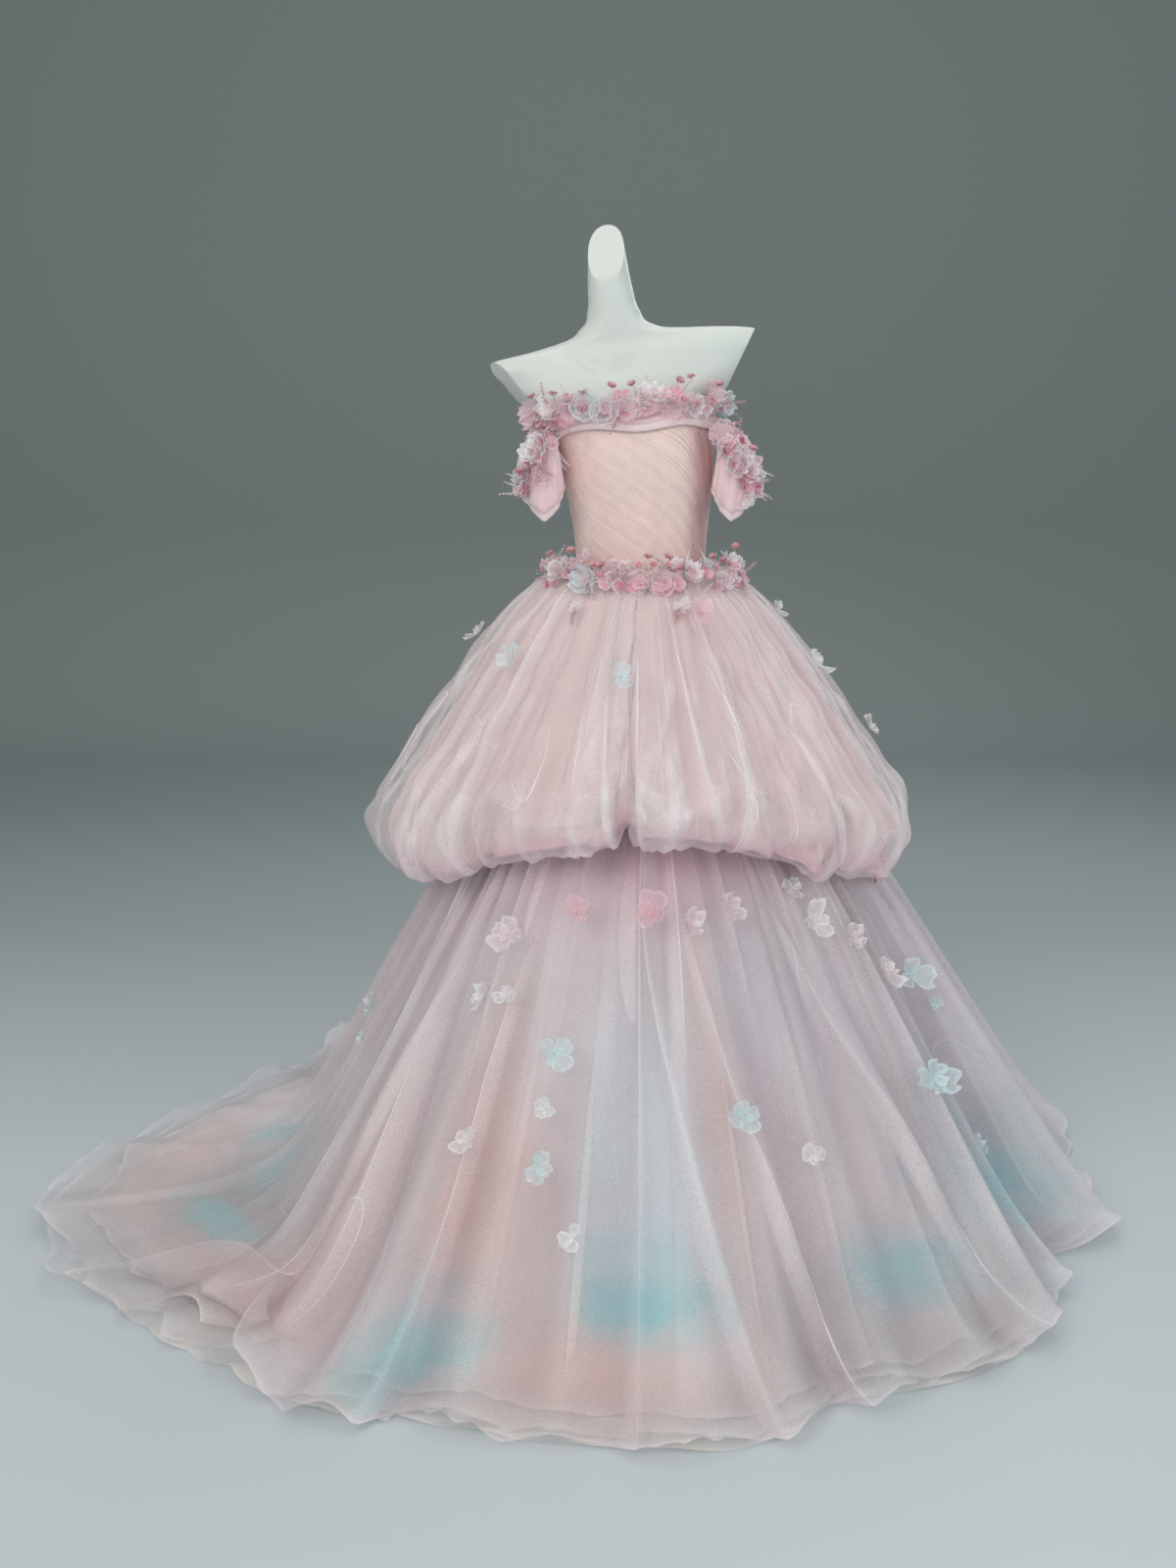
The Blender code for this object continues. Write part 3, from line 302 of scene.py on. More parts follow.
def turn_between(angle, other):
    """The signed angle from other to angle, in -180 to 180."""
    return (angle - other + 180) % 360 - 180


def bump(distance, width):
    """1 at the middle, falling softly to 0 at one width."""
    if abs(distance) >= width:
        return 0.0
    return 0.5 + 0.5 * math.cos(math.pi * distance / width)


def ramp(at, start):
    """0 up to start, then rising softly to 1."""
    t = min(max((at - start) / (1 - start), 0.0), 1.0)
    return t * t * (3 - 2 * t)


def direction(angle):
    return np.array((math.cos(math.radians(angle)), math.sin(math.radians(angle)), 0.0))


def hidden_folds(angles, count, width, depth):
    """Like the folds in the table, uneven in place, width and depth, for the side that has no table rows."""
    low, high = angles
    step = (high - low) / count
    folds = []
    for i in range(count):
        sway = math.sin(2.4 * i + 0.7)
        angle = low + step * (i + 0.5 + 0.18 * sway)
        taller = 1 + 0.25 * math.sin(1.7 * i)
        folds.append(Fold(angle, width * (1 + 0.15 * sway), depth * taller, 0.2 + 0.1 * sway))
    return folds


FORM_CURVES = level_curves(FORM)
HEM_CURVES = ring_curves(HEM)
PUFF_CURVES = level_curves(PUFF)
PUFF_HEM_CURVES = ring_curves(PUFF_HEM)
SLEEVE_CURVES = level_curves(SLEEVE)
ALL_SKIRT_FOLDS = SKIRT_FOLDS + hidden_folds(BACK_FOLD_ANGLES, BACK_FOLD_COUNT, 6.2, 0.036)
ALL_PUFF_FOLDS = PUFF_FOLDS + hidden_folds(BACK_PUFF_ANGLES, BACK_PUFF_COUNT, 7.4, 0.028)


@functools.lru_cache(maxsize=None)
def form_section(level):
    return FormSection(level, *(curve(level) for curve in FORM_CURVES.values()))


def form_point(angle, level):
    """A point on the dress form, on the section at this level."""
    row = form_section(level)
    cos, sin = math.cos(math.radians(angle)), math.sin(math.radians(angle))
    power = 2 / FORM_SQUARENESS
    x = math.copysign(abs(cos) ** power, cos) * row.half_width
    depth = row.front if sin < 0 else row.back
    y = math.copysign(abs(sin) ** power, sin) * depth
    if sin < 0:
        near = sum(math.exp(-(((x - side * BUST_APART) / BUST_SPREAD) ** 2)) for side in (-1, 1))
        y -= row.bust * near * abs(sin)
    return np.array((row.centre_x + x, y, level + row.tilt * x + row.slant * y))


def unit(vector):
    return vector / np.linalg.norm(vector)


def normal_of(surface, u, v, step_u, step_v):
    """The surface's outward normal, by differences of the function, so that neighbours agree at a seam."""
    along_u = surface(u + step_u, v) - surface(u - step_u, v)
    along_v = surface(u, v + step_v) - surface(u, v - step_v)
    return unit(np.cross(along_u, along_v))


def form_normal(angle, level):
    return normal_of(form_point, angle, level, 0.5, 0.004)


@functools.lru_cache(maxsize=None)
def waist_ring(angle):
    """How far the form's waist reaches from its middle."""
    point = form_point(angle, WAIST_LEVEL)
    return float(np.hypot(point[0] - waist_middle(WAIST_LEVEL), point[1]))


def waist_middle(height):
    """The gown's middle leans from the waist's centre back over the pole."""
    return WAIST_CENTRE_X * min(max(height / WAIST_LEVEL, 0.0), 1.0)


def fold_height(folds, angle, at):
    """How far the folds lift the cloth at this place."""
    total = 0.0
    for fold in folds:
        away = turn_between(angle, fold.angle)
        if abs(away) < fold.width:
            total = max(total, fold.depth * bump(away, fold.width) * ramp(at, fold.start))
    return total


@functools.lru_cache(maxsize=None)
def hem_row(angle):
    return tuple(curve(angle % 360) for curve in HEM_CURVES.values())


def skirt_base(angle, at):
    """The underskirt without its folds: a cone from the waist that lands softly and runs out on the floor."""
    reach, landing, softness = hem_row(angle)
    start = waist_ring(angle) + SKIRT_TOP_CLEARANCE
    radius = start + (reach - start) * at

    def height(share):
        return 0.5 * ((1 - share) + math.sqrt((1 - share) ** 2 + softness**2))

    share = (radius - start) / (landing - start)
    end = height((reach - start) / (landing - start))
    z = FLOOR_CLEARANCE + (SKIRT_TOP - FLOOR_CLEARANCE) * (height(share) - end) / (height(0) - end)
    return direction(angle) * radius + np.array((waist_middle(z), 0.0, z))


def skirt_point(angle, at):
    """The underskirt's outer face."""
    at = min(max(at, 0.0), 1.0)
    step = 0.01
    slope = skirt_base(angle, min(at + step, 1.0)) - skirt_base(angle, max(at - step, 0.0))
    out = unit(np.cross(direction(angle + 90), slope))
    if out[2] < 0:
        out = -out
    return skirt_base(angle, at) + out * fold_height(ALL_SKIRT_FOLDS, angle, at)


@functools.lru_cache(maxsize=None)
def skirt_profile(angle):
    """Heights, as falls below the waist, and reaches down the folded underskirt."""
    points = [skirt_point(angle, share) for share in np.linspace(0, 1, 26)]
    falls = [-point[2] for point in points]
    return falls, [math.hypot(point[0] - waist_middle(point[2]), point[1]) for point in points]


def skirt_reach(angle, height):
    """How far the folded underskirt reaches at this height."""
    return float(np.interp(-height, *skirt_profile(angle)))


def puff_point(angle, at, tacks=TACKS, folds=ALL_PUFF_FOLDS):
    """The overskirt's outer face, from the waist out over the bubble to its tucked hem."""
    at = min(max(at, 0.0), 1.0)
    start = waist_ring(angle) + OVERSKIRT_TOP_CLEARANCE
    widest = PUFF_HEM_CURVES["reach"](angle % 360)
    lift = sum(tack.lift * bump(turn_between(angle, tack.angle), tack.width) for tack in tacks)
    lowest = PUFF_HEM_CURVES["hem"](angle % 360) + lift
    drop, reach, gather = (curve(at) for curve in PUFF_CURVES.values())
    z = OVERSKIRT_TOP - (OVERSKIRT_TOP - lowest) * drop
    radius = start + (widest - start) * reach
    radius += gather * fold_height(folds, angle, 0.35 + 0.65 * at)
    radius -= 0.9 * lift * bump(1 - at, 0.75)
    if at > 0.5:
        radius = max(radius, skirt_reach(angle, z) + OVER_UNDER_CLEARANCE)
    return direction(angle) * radius + np.array((waist_middle(z), 0.0, z))


def sleeve_point(side, angle, share):
    """The loop sleeve's outer face: side 1 is the left one.

    Around the loop, 180 is its outermost side and 270 its front.
    """
    level, near, width, half_span, droop = (curve(share) for curve in SLEEVE_CURVES.values())
    around = SLEEVE_MIDDLE - half_span * math.sin(math.radians(angle))
    off = near + width * (0.5 - 0.5 * math.cos(math.radians(angle)))
    out = form_normal(around, level)
    point = form_point(around, level) + unit(out * (1, 1, 0)) * off
    height = level - droop * bump(turn_between(angle, SLEEVE_POINT), 100)
    return np.array((BODY_MIDDLE_X + side * (point[0] - BODY_MIDDLE_X), point[1], height))


# ---------------------------------------------------------------- grids

RING_STEP = 1.25
RING = np.arange(0.0, 360.0, RING_STEP)


def sampled(surface, angles, shares):
    return np.array([[surface(angle, share) for angle in angles] for share in shares])


def resampled(grid, count, axis, closed=False):
    """The grid with a new count of places along one axis, on smooth curves through the old ones."""
    old = grid.shape[axis]
    places = np.arange(count) * old / count if closed else np.linspace(0, old - 1, count)
    low = np.minimum(np.floor(places).astype(int), old - 1)
    t = (places - low).reshape([-1 if k == axis else 1 for k in range(grid.ndim)])

    def neighbour(step):
        index = (low + step) % old if closed else np.clip(low + step, 0, old - 1)
        return np.take(grid, index, axis)

    before, first, second, after = (neighbour(step) for step in (-1, 0, 1, 2))
    return 0.5 * (
        2 * first
        + (second - before) * t
        + (2 * before - 5 * first + 4 * second - after) * t**2
        + (3 * first - before - 3 * second + after) * t**3
    )


def finer(grid, rows, columns, closed=False):
    return resampled(resampled(grid, rows, 0), columns, 1, closed)


def shares_down(rows):
    """The share of the way down of each row, as a column that spreads over a grid."""
    return np.linspace(0.0, 1.0, rows)[:, None]


def angles_round(columns):
    """The angle of each column of a closed ring, as a row that spreads over a grid."""
    return (np.arange(columns) * 360 / columns)[None]


def differences(points, closed):
    across = np.roll(points, -1, 1) - np.roll(points, 1, 1) if closed else np.gradient(points, axis=1)
    return np.gradient(points, axis=0), across


def normals_of(points, closed):
    down, across = differences(points, closed)
    normals = np.cross(down, across)
    return normals / np.maximum(np.linalg.norm(normals, axis=2, keepdims=True), 1e-12)


def area_of(points, closed=True):
    """The grid's area; round a closed ring the differences are twice as long."""
    down, across = differences(points, closed)
    return float(np.linalg.norm(np.cross(down, across), axis=2).sum()) / (2 if closed else 1)


def smooth_ramp(values, low, high):
    t = np.clip((values - low) / (high - low), 0.0, 1.0)
    return t * t * (3 - 2 * t)


def drift(angles, shares, seed, size=1.0):
    """Slow uneven values of about -1 to 1 over a grid, which close on themselves round the ring.

    They are the sum of a few waves, whose steps and shifts have no common measure.
    """
    turn = np.radians(angles)
    total = np.zeros(np.broadcast(angles, shares).shape)
    for k in range(1, 6):
        step = round(size * k * 1.7) + 1
        around = np.sin(step * turn + seed * (k + 1.3) + 2.2 * k * shares)
        total += around * np.cos(seed * k + 4.1 * k * size * shares)
    return total / 2.6


# ---------------------------------------------------------------- creases

# A crease runs from its angle at the top of a skirt to its angle at the hem. The bend says how late it
# turns, lean which side of it is the steep one, and shine how clearly its folded edge shows.
Crease = namedtuple("Crease", "top low bend start end width depth lean shine")
CREASE_SWAY = 0.55
CREASE_FADE_IN = 0.22
CREASE_FADE_OUT = 0.25
# A crease has this share of its width at the waist. The lower of two that cross still adds a part of its
# height. The cloth lies double on the steep side, in a stretch this much sharper than the ridge.
CREASE_WAIST_WIDTH = 0.45
CROSSING_PART = 0.3
DOUBLED_SHARPNESS = 2.5


def crease_fan(seed, count, depth, width, start, stray=2.0):
    """Creases that fan out down a skirt, uneven in place, length, width and depth."""
    draw = random.Random(seed)
    made = []
    for i in range(count):
        angle = 360.0 * (i + draw.uniform(-0.42, 0.42)) / count
        made.append(
            Crease(
                angle,
                angle + draw.uniform(-stray, stray),
                draw.uniform(0.8, 1.8),
                start * draw.uniform(0.2, 1.8),
                draw.choice((1.6, 1.6, 1.3, 0.95, 0.75)),
                width * draw.uniform(0.5, 1.7),
                depth * draw.uniform(0.3, 1.4),
                draw.choice((-1, 1)) * draw.uniform(0.15, 0.75),
                draw.random() ** 1.8,
            )
        )
    return made


def crease_middle(crease, shares):
    """The angle at which the crease runs, from the waist to the hem."""
    sway = CREASE_SWAY * np.sin(4.2 * shares + crease.top) * shares
    return crease.top + (crease.low - crease.top) * shares**crease.bend + sway


def crease_part(crease, shares):
    """How far the crease is there, from 0 to 1: it fades in where it starts and out where it ends."""
    there = smooth_ramp(shares, crease.start, crease.start + CREASE_FADE_IN)
    return there * (1 - smooth_ramp(shares, crease.end - CREASE_FADE_OUT, crease.end))


def pressed(creases, angles, shares, soft=1.5):
    """How far the creases lift the cloth, and where it lies double beside a folded edge."""
    lift = np.zeros(np.broadcast(angles, shares).shape)
    doubled = np.zeros_like(lift)
    for crease in creases:
        signed = turn_between(angles, crease_middle(crease, shares))
        wide = crease.width * (CREASE_WAIST_WIDTH + (1 - CREASE_WAIST_WIDTH) * shares)
        wide = wide * (1 + crease.lean * np.clip(signed / 0.8, -1, 1))
        away = np.abs(signed) / wide
        there = crease_part(crease, shares)
        ridge = np.clip(1 - away, 0, 1) ** soft * there
        height = crease.depth * ridge
        lift = np.maximum(lift, height) + CROSSING_PART * np.minimum(lift, height)
        one_side = smooth_ramp(-signed * np.sign(crease.lean), -0.9, 0.5)
        steep = np.clip((1 - away) * DOUBLED_SHARPNESS, 0, 1) * one_side * there
        doubled = np.maximum(doubled, steep * crease.shine)
    return lift, doubled


def lapped(creases, angles, shares, count, seed):
    """Panels that lap over each other, each densest at its own folded edge and thinner towards the next."""
    edges = []
    for crease in sorted(creases, key=lambda crease: -crease.shine):
        tops = [abs(turn_between(crease.top, other.top)) for other in edges]
        lows = [abs(turn_between(crease.low, other.low)) for other in edges]
        if len(edges) < count and min(tops + lows, default=180.0) > 200.0 / count:
            edges.append(crease)
    edges.sort(key=lambda crease: crease.top)
    draw = random.Random(seed)
    denser = np.zeros(np.broadcast(angles, shares).shape)
    for crease, after in zip(edges, edges[1:] + edges[:1]):
        amount = draw.uniform(0.0, 1.0)
        across = turn_between(angles, crease_middle(crease, shares))
        span = turn_between(crease_middle(after, shares), crease_middle(crease, shares)) % 360
        span = np.maximum(span, 1e-3)
        part = smooth_ramp(across, -0.5, 0.9) * np.clip(1 - across / span, 0.0, 1.0) ** 0.8
        part = part * (np.abs(across) < span)
        denser += amount * part * smooth_ramp(shares, crease.start, crease.start + 0.3)
    return denser


# A loop of crumpled tulle: its middle, its half sizes, its tilt and how clearly its folded rim shows.
Loop = namedtuple("Loop", "angle at wide tall tilt shine")
LOOP_LIFT = 0.004
LOOP_CREST = 0.85
LOOP_CREST_WIDTH = 0.22
LOOP_RIM = 0.95
LOOP_SKEW = 0.3


def scattered_loops(seed, count, low, high):
    """Crumpled loops, uneven in place, size and tilt."""
    draw = random.Random(seed)
    made = []
    for i in range(count):
        angle = 360.0 * (i + draw.uniform(-0.45, 0.45)) / count
        at = draw.uniform(low, high)
        wide, tall = draw.uniform(2.0, 5.0), draw.uniform(0.05, 0.15)
        made.append(Loop(angle, at, wide, tall, draw.uniform(-1.2, 1.2), draw.uniform(0.15, 0.9)))
    return made


def crumpled(loops, angles, shares):
    """How far the loops lift the cloth, and where it lies double in them."""
    lift = np.zeros(np.broadcast(angles, shares).shape)
    doubled = np.zeros_like(lift)
    for loop in loops:
        x, y = turn_between(angles, loop.angle) / loop.wide, (shares - loop.at) / loop.tall
        u = x * math.cos(loop.tilt) + y * math.sin(loop.tilt)
        v = y * math.cos(loop.tilt) - x * math.sin(loop.tilt)
        far = np.hypot(u, v * (1 + LOOP_SKEW * u))
        lift = np.maximum(lift, LOOP_LIFT * np.exp(-(((far - LOOP_CREST) / LOOP_CREST_WIDTH) ** 2)))
        filled = (1 - smooth_ramp(far, 0.8, 1.0)) * (0.35 + 0.4 * np.clip(far, 0, 1))
        doubled = np.maximum(doubled, loop.shine * filled)
    return lift, doubled


def crease_path(crease, steps=70):
    """Where the folded edge of a crease runs, as angles and shares, and how clearly it shows."""
    shares = np.linspace(0.0, 1.0, steps)
    clear = (0.16 + 0.54 * crease.shine) * (0.62 + 0.38 * np.sin(7.0 * shares + 2.0 * crease.top))
    return crease_middle(crease, shares), shares, crease_part(crease, shares) * clear


def loop_path(loop, steps=44):
    """The same for a loop's folded rim."""
    turn = np.linspace(-2.5, 2.5, steps)
    u, v = np.cos(turn), np.sin(turn)
    v = v / (1 + LOOP_SKEW * u)
    x = u * math.cos(loop.tilt) - v * math.sin(loop.tilt)
    y = u * math.sin(loop.tilt) + v * math.cos(loop.tilt)
    clear = LOOP_RIM * loop.shine * np.cos(turn / 1.75) ** 1.5
    return loop.angle + LOOP_RIM * loop.wide * x, loop.at + LOOP_RIM * loop.tall * y, clear


def on_grid(grid, angles, shares):
    """Places on a closed ring grid, between its points."""
    rows, columns = grid.shape[:2]
    u = (np.asarray(angles) % 360) * columns / 360
    v = np.clip(shares, 0.0, 1.0) * (rows - 1)
    i, j = np.minimum(v.astype(int), rows - 2), u.astype(int) % columns
    s, t = (v - i)[:, None], (u - np.floor(u))[:, None]
    k = (j + 1) % columns
    above = grid[i, j] * (1 - t) + grid[i, k] * t
    below = grid[i + 1, j] * (1 - t) + grid[i + 1, k] * t
    return above * (1 - s) + below * s


EDGE_HALF_WIDTH = 0.0006
EDGE_WIDENING = 0.0012
EDGE_LOW = 0.0008
EDGE_HIGH = 0.0012


def edge_lines(name, grid, paths, tint):
    """The thin bright lines that the folded edges of sheer tulle show, wider where they are clearer."""
    out = normals_of(grid, True)
    points, faces, covers = [], [], []
    count = 0
    for angles, shares, cover in paths:
        places, normals = on_grid(grid, angles, shares), on_grid(out, angles, shares)
        side = np.cross(np.gradient(places, axis=0), normals)
        side /= np.maximum(np.linalg.norm(side, axis=1, keepdims=True), 1e-9)
        half = (EDGE_HALF_WIDTH + EDGE_WIDENING * cover)[:, None]
        rims = [places + normals * EDGE_LOW - side * half, places + normals * EDGE_HIGH + side * half]
        strip = np.stack(rims, axis=1)
        points += strip.reshape(-1, 3).tolist()
        covers += np.repeat(cover, 2).tolist()
        for i in range(count, count + 2 * len(places) - 2, 2):
            faces.append((i, i + 1, i + 3, i + 2))
        count += 2 * len(places)
    made = mesh_object(name, points, faces, SHEER)
    put_attributes(made.data, np.broadcast_to(tint, (len(points), 3)), covers)
    return made


# A swag hangs between two places like a slack chain.
Swag = namedtuple("Swag", "middle half top sag width depth")


def hung(swags, angles, shares):
    """How far the swags lift the cloth: each fades out towards the places that it hangs from."""
    lift = np.zeros(np.broadcast(angles, shares).shape)
    for swag in swags:
        side = turn_between(angles, swag.middle) / swag.half
        line = swag.top + swag.sag * (1 - side**2)
        away = np.abs(shares - line) / swag.width
        lift += swag.depth * np.exp(-2.5 * away**2) * np.clip(1 - side**2, 0, 1) ** 0.6
    return lift


# ---------------------------------------------------------------- patches of dye and of painted shade

# A patch of dye, or, for the grey and teal ones, of painted shade: a crisp one is a brush stroke with a
# streaked edge, the others fade out softly.
Patch = namedtuple("Patch", "angle at width length strength rgb crisp", defaults=(0.0,))
PEACH = (0.98, 0.66, 0.58)
ROSE = (0.93, 0.50, 0.62)
AQUA = (0.34, 0.80, 0.84)
ICE = (0.84, 0.93, 0.98)
LILAC = (0.80, 0.76, 0.87)
IVORY = (1.0, 0.955, 0.89)


def dyed_and_shaded(ground, patches, angles, shares, seed):
    """The ground colour with soft-edged patches of other colours."""
    shape = np.broadcast(angles, shares).shape
    tint = np.ones((*shape, 3)) * np.array(ground)
    stray = drift(angles, shares, seed, 3.0)
    streaks = drift(angles, shares * 3.0, seed + 13, 6.0) + 0.5 * stray
    for patch in patches:
        across = turn_between(angles, patch.angle) / patch.width
        far = across**2 + ((shares - patch.at) / patch.length) ** 2
        soft = np.exp(-(far * (1 + 0.5 * stray)))
        hard = 1 - smooth_ramp(far + 0.5 * streaks, 0.7, 1.25)
        part = patch.strength * (soft * (1 - patch.crisp) + hard * patch.crisp)[..., None]
        tint = tint * (1 - part) + np.array(patch.rgb) * part
    return tint


# ---------------------------------------------------------------- meshes


def mesh_object(name, points, faces, material, smooth=True):
    mesh = bpy.data.meshes.new(name)
    mesh.from_pydata(points, [], faces)
    mesh.update()
    made = bpy.data.objects.new(name, mesh)
    bpy.context.scene.collection.objects.link(made)
    if material:
        mesh.materials.append(material)
    if smooth:
        mesh.shade_smooth()
    return made


def grid_faces(rows, columns, closed):
    i, j = np.meshgrid(np.arange(rows - 1), np.arange(columns if closed else columns - 1), indexing="ij")
    k = (j + 1) % columns
    corners = (i * columns + j, (i + 1) * columns + j, (i + 1) * columns + k, i * columns + k)
    return np.stack([corner.ravel() for corner in corners], axis=1)


def put_attributes(mesh, tint, density=None):
    count = len(mesh.vertices)
    colours = np.ones((count, 4))
    colours[:, :3] = np.asarray(tint).reshape(-1, 3)
    mesh.attributes.new("tint", "FLOAT_COLOR", "POINT").data.foreach_set("color", colours.ravel())
    if density is not None:
        values = np.clip(np.asarray(density, float).ravel(), 0.0, 1.0)
        mesh.attributes.new("cover", "FLOAT", "POINT").data.foreach_set("value", values)


def grid_object(name, points, material, tint, density=None, closed=False, thickness=0.0):
    rows, columns = points.shape[:2]
    faces = grid_faces(rows, columns, closed).tolist()
    made = mesh_object(name, points.reshape(-1, 3).tolist(), faces, material)
    tint = np.broadcast_to(np.asarray(tint, float), (rows, columns, 3))
    put_attributes(made.data, tint, None if density is None else np.broadcast_to(density, (rows, columns)))
    if thickness:
        shell = made.modifiers.new("cloth", "SOLIDIFY")
        shell.thickness = thickness
        shell.offset = -1.0
    return made


# ---------------------------------------------------------------- materials


def set_inputs(node, values):
    for name, value in values.items():
        node.inputs[name].default_value = value


def new_material(name, roughness, sheen=0.0, specular=0.3):
    made = bpy.data.materials.new(name)
    made.use_nodes = True
    shader = made.node_tree.nodes["Principled BSDF"]
    set_inputs(shader, {"Roughness": roughness, "Specular IOR Level": specular})
    set_inputs(shader, {"Sheen Weight": sheen, "Sheen Roughness": 0.5})
    return made, made.node_tree, shader


def noise(tree, scale, detail=2.0):
    coordinates = tree.nodes.new("ShaderNodeTexCoord")
    made = tree.nodes.new("ShaderNodeTexNoise")
    set_inputs(made, {"Scale": scale, "Detail": detail})
    tree.links.new(coordinates.outputs["Object"], made.inputs["Vector"])
    return made.outputs["Fac"]


def stretched(tree, value, low, high):
    """The middle of a noise's range, stretched from low to high."""
    made = tree.nodes.new("ShaderNodeMapRange")
    set_inputs(made, {"From Min": 0.3, "From Max": 0.7, "To Min": low, "To Max": high})
    tree.links.new(value, made.inputs["Value"])
    return made.outputs["Result"]


def times(tree, first, second):
    made = tree.nodes.new("ShaderNodeMath")
    made.operation = "MULTIPLY"
    made.use_clamp = True
    tree.links.new(first, made.inputs[0])
    tree.links.new(second, made.inputs[1])
    return made.outputs[0]


def attribute(tree, name, output):
    made = tree.nodes.new("ShaderNodeAttribute")
    made.attribute_name = name
    return made.outputs[output]


def bumped(tree, shader, height, strength, distance):
    made = tree.nodes.new("ShaderNodeBump")
    set_inputs(made, {"Strength": strength, "Distance": distance})
    tree.links.new(height, made.inputs["Height"])
    tree.links.new(made.outputs["Normal"], shader.inputs["Normal"])


def tinted(tree, shader, grain):
    """The base colour from the tint attribute, lighter and darker with the grain."""
    scaled = tree.nodes.new("ShaderNodeVectorMath")
    scaled.operation = "SCALE"
    tree.links.new(attribute(tree, "tint", "Color"), scaled.inputs[0])
    tree.links.new(grain, scaled.inputs["Scale"])
    tree.links.new(scaled.outputs[0], shader.inputs["Base Color"])


# How many grains of each kind go to a metre.
NET_GRAIN = 420.0
WEAVE_GRAIN = 900.0
CLOUDS = 9.0
SPECKS = 60.0


def tulle(name, sheer, grain_low=0.8, grain_high=1.2):
    """Fine net, sheer by its cover attribute where it is sheer at all."""
    made, tree, shader = new_material(name, 0.75, sheen=0.25, specular=0.15)
    fine = noise(tree, NET_GRAIN, 3.0)
    tinted(tree, shader, stretched(tree, noise(tree, CLOUDS, 4.0), 0.95, 1.03))
    bumped(tree, shader, fine, 0.25, 0.0006)
    if sheer:
        grain = stretched(tree, fine, grain_low, grain_high)
        tree.links.new(times(tree, attribute(tree, "cover", "Fac"), grain), shader.inputs["Alpha"])
    return made


def cloth(name, roughness=0.7, sheen=0.3):
    """Cloth that lets nothing through."""
    made, tree, shader = new_material(name, roughness, sheen, 0.2)
    fine = noise(tree, WEAVE_GRAIN, 2.0)
    tinted(tree, shader, stretched(tree, noise(tree, SPECKS, 5.0), 0.95, 1.04))
    bumped(tree, shader, fine, 0.3, 0.0004)
    return made


SHEER = tulle("sheer_tulle", True)
MILKY = tulle("gathered_tulle", False)
BODICE_CLOTH_FINISH = cloth("pleated_tulle")
BAND_FINISH = cloth("folded_tulle")
PETAL = tulle("organza_petal", True, 0.9, 1.1)
set_inputs(PETAL.node_tree.nodes["Principled BSDF"], {"Roughness": 0.38, "Specular IOR Level": 0.5})
STEM = cloth("wired_stem", 0.5, 0.1)
LACQUER = (0.745, 0.785, 0.735, 1.0)
STEEL = (0.62, 0.62, 0.62, 1.0)
FORM_FINISH, form_tree, form_shader = new_material("form_lacquer", 0.42, 0.0, 0.4)
set_inputs(form_shader, {"Base Color": LACQUER})
bumped(form_tree, form_shader, noise(form_tree, WEAVE_GRAIN, 3.0), 0.06, 0.0003)
METAL, metal_tree, metal_shader = new_material("brushed_stand", 0.34, 0.0, 0.5)
set_inputs(metal_shader, {"Metallic": 0.9, "Base Color": STEEL})
bumped(metal_tree, metal_shader, noise(metal_tree, 260.0, 4.0), 0.1, 0.0003)


def put_up(piece, slot, *nodes):
    """Every piece rides on the one body, its slot is not used, and it may stand for nodes."""
    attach(piece, "root")
    if nodes:
        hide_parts(*nodes)


# ---------------------------------------------------------------- dress form

FORM_ANGLES = np.arange(0.0, 360.0, 3.0)
FORM_LEVELS = np.concatenate([np.linspace(0.86, 1.40, 60), np.linspace(1.405, 1.577, 58)])

# The hollows over the collar bones: each falls softly from above and ends on the bone's slanting edge.
Hollow = namedtuple("Hollow", "x level slant width height depth")
HOLLOWS = table(
    Hollow,
    (-0.070, 1.399, -0.38, 0.034, 0.024, 0.0150),
    (-0.008, 1.396, 0.45, 0.020, 0.022, 0.0105),
)
BONE_EDGE = 0.005
FORM_EDGE = 0.0022
# The angles between faces, in degrees, from which an edge is bevelled and shaded sharp.
BEVEL_OVER = 42
SHARP_OVER = 50


def hollow_depth(x, y, z):
    total = np.zeros_like(x)
    for hollow in HOLLOWS:
        above = z - hollow.level - hollow.slant * (x - hollow.x)
        height = np.where(above > 0, hollow.height, BONE_EDGE)
        total += hollow.depth * np.exp(-(((x - hollow.x) / hollow.width) ** 2) - (above / height) ** 2)
    return total * (y < -0.01)


def cut_arm(torso, cut):
    """Takes off what stands past the flat cut where an arm would start."""
    facing = Vector(cut.facing).normalized()
    upright = facing.cross(Vector((0.0, 1.0, 0.0))).cross(facing).normalized()
    turned = Matrix((upright, facing.cross(upright), facing)).transposed().to_4x4()
    size = Matrix.Diagonal((*ARM_CUT_BOX, 1.0))
    placed = Matrix.Translation(Vector(cut.point) + facing * ARM_CUT_BOX[2] / 2) @ turned @ size
    halves = (-0.5, 0.5)
    corners = [placed @ Vector((a, b, c)) for a in halves for b in halves for c in halves]
    sides = ((0, 1, 3, 2), (4, 6, 7, 5), (0, 4, 5, 1), (2, 3, 7, 6), (0, 2, 6, 4), (1, 5, 7, 3))
    cutter = mesh_object("arm_cutter", corners, sides, None, smooth=False)
    boolean = torso.modifiers.new("arm cut", "BOOLEAN")
    boolean.operation = "DIFFERENCE"
    boolean.solver = "EXACT"
    boolean.object = cutter
    bpy.context.view_layer.update()
    evaluated = torso.evaluated_get(bpy.context.evaluated_depsgraph_get())
    cut_mesh = bpy.data.meshes.new_from_object(evaluated)
    torso.modifiers.clear()
    torso.data = cut_mesh
    bpy.data.objects.remove(cutter, do_unlink=True)


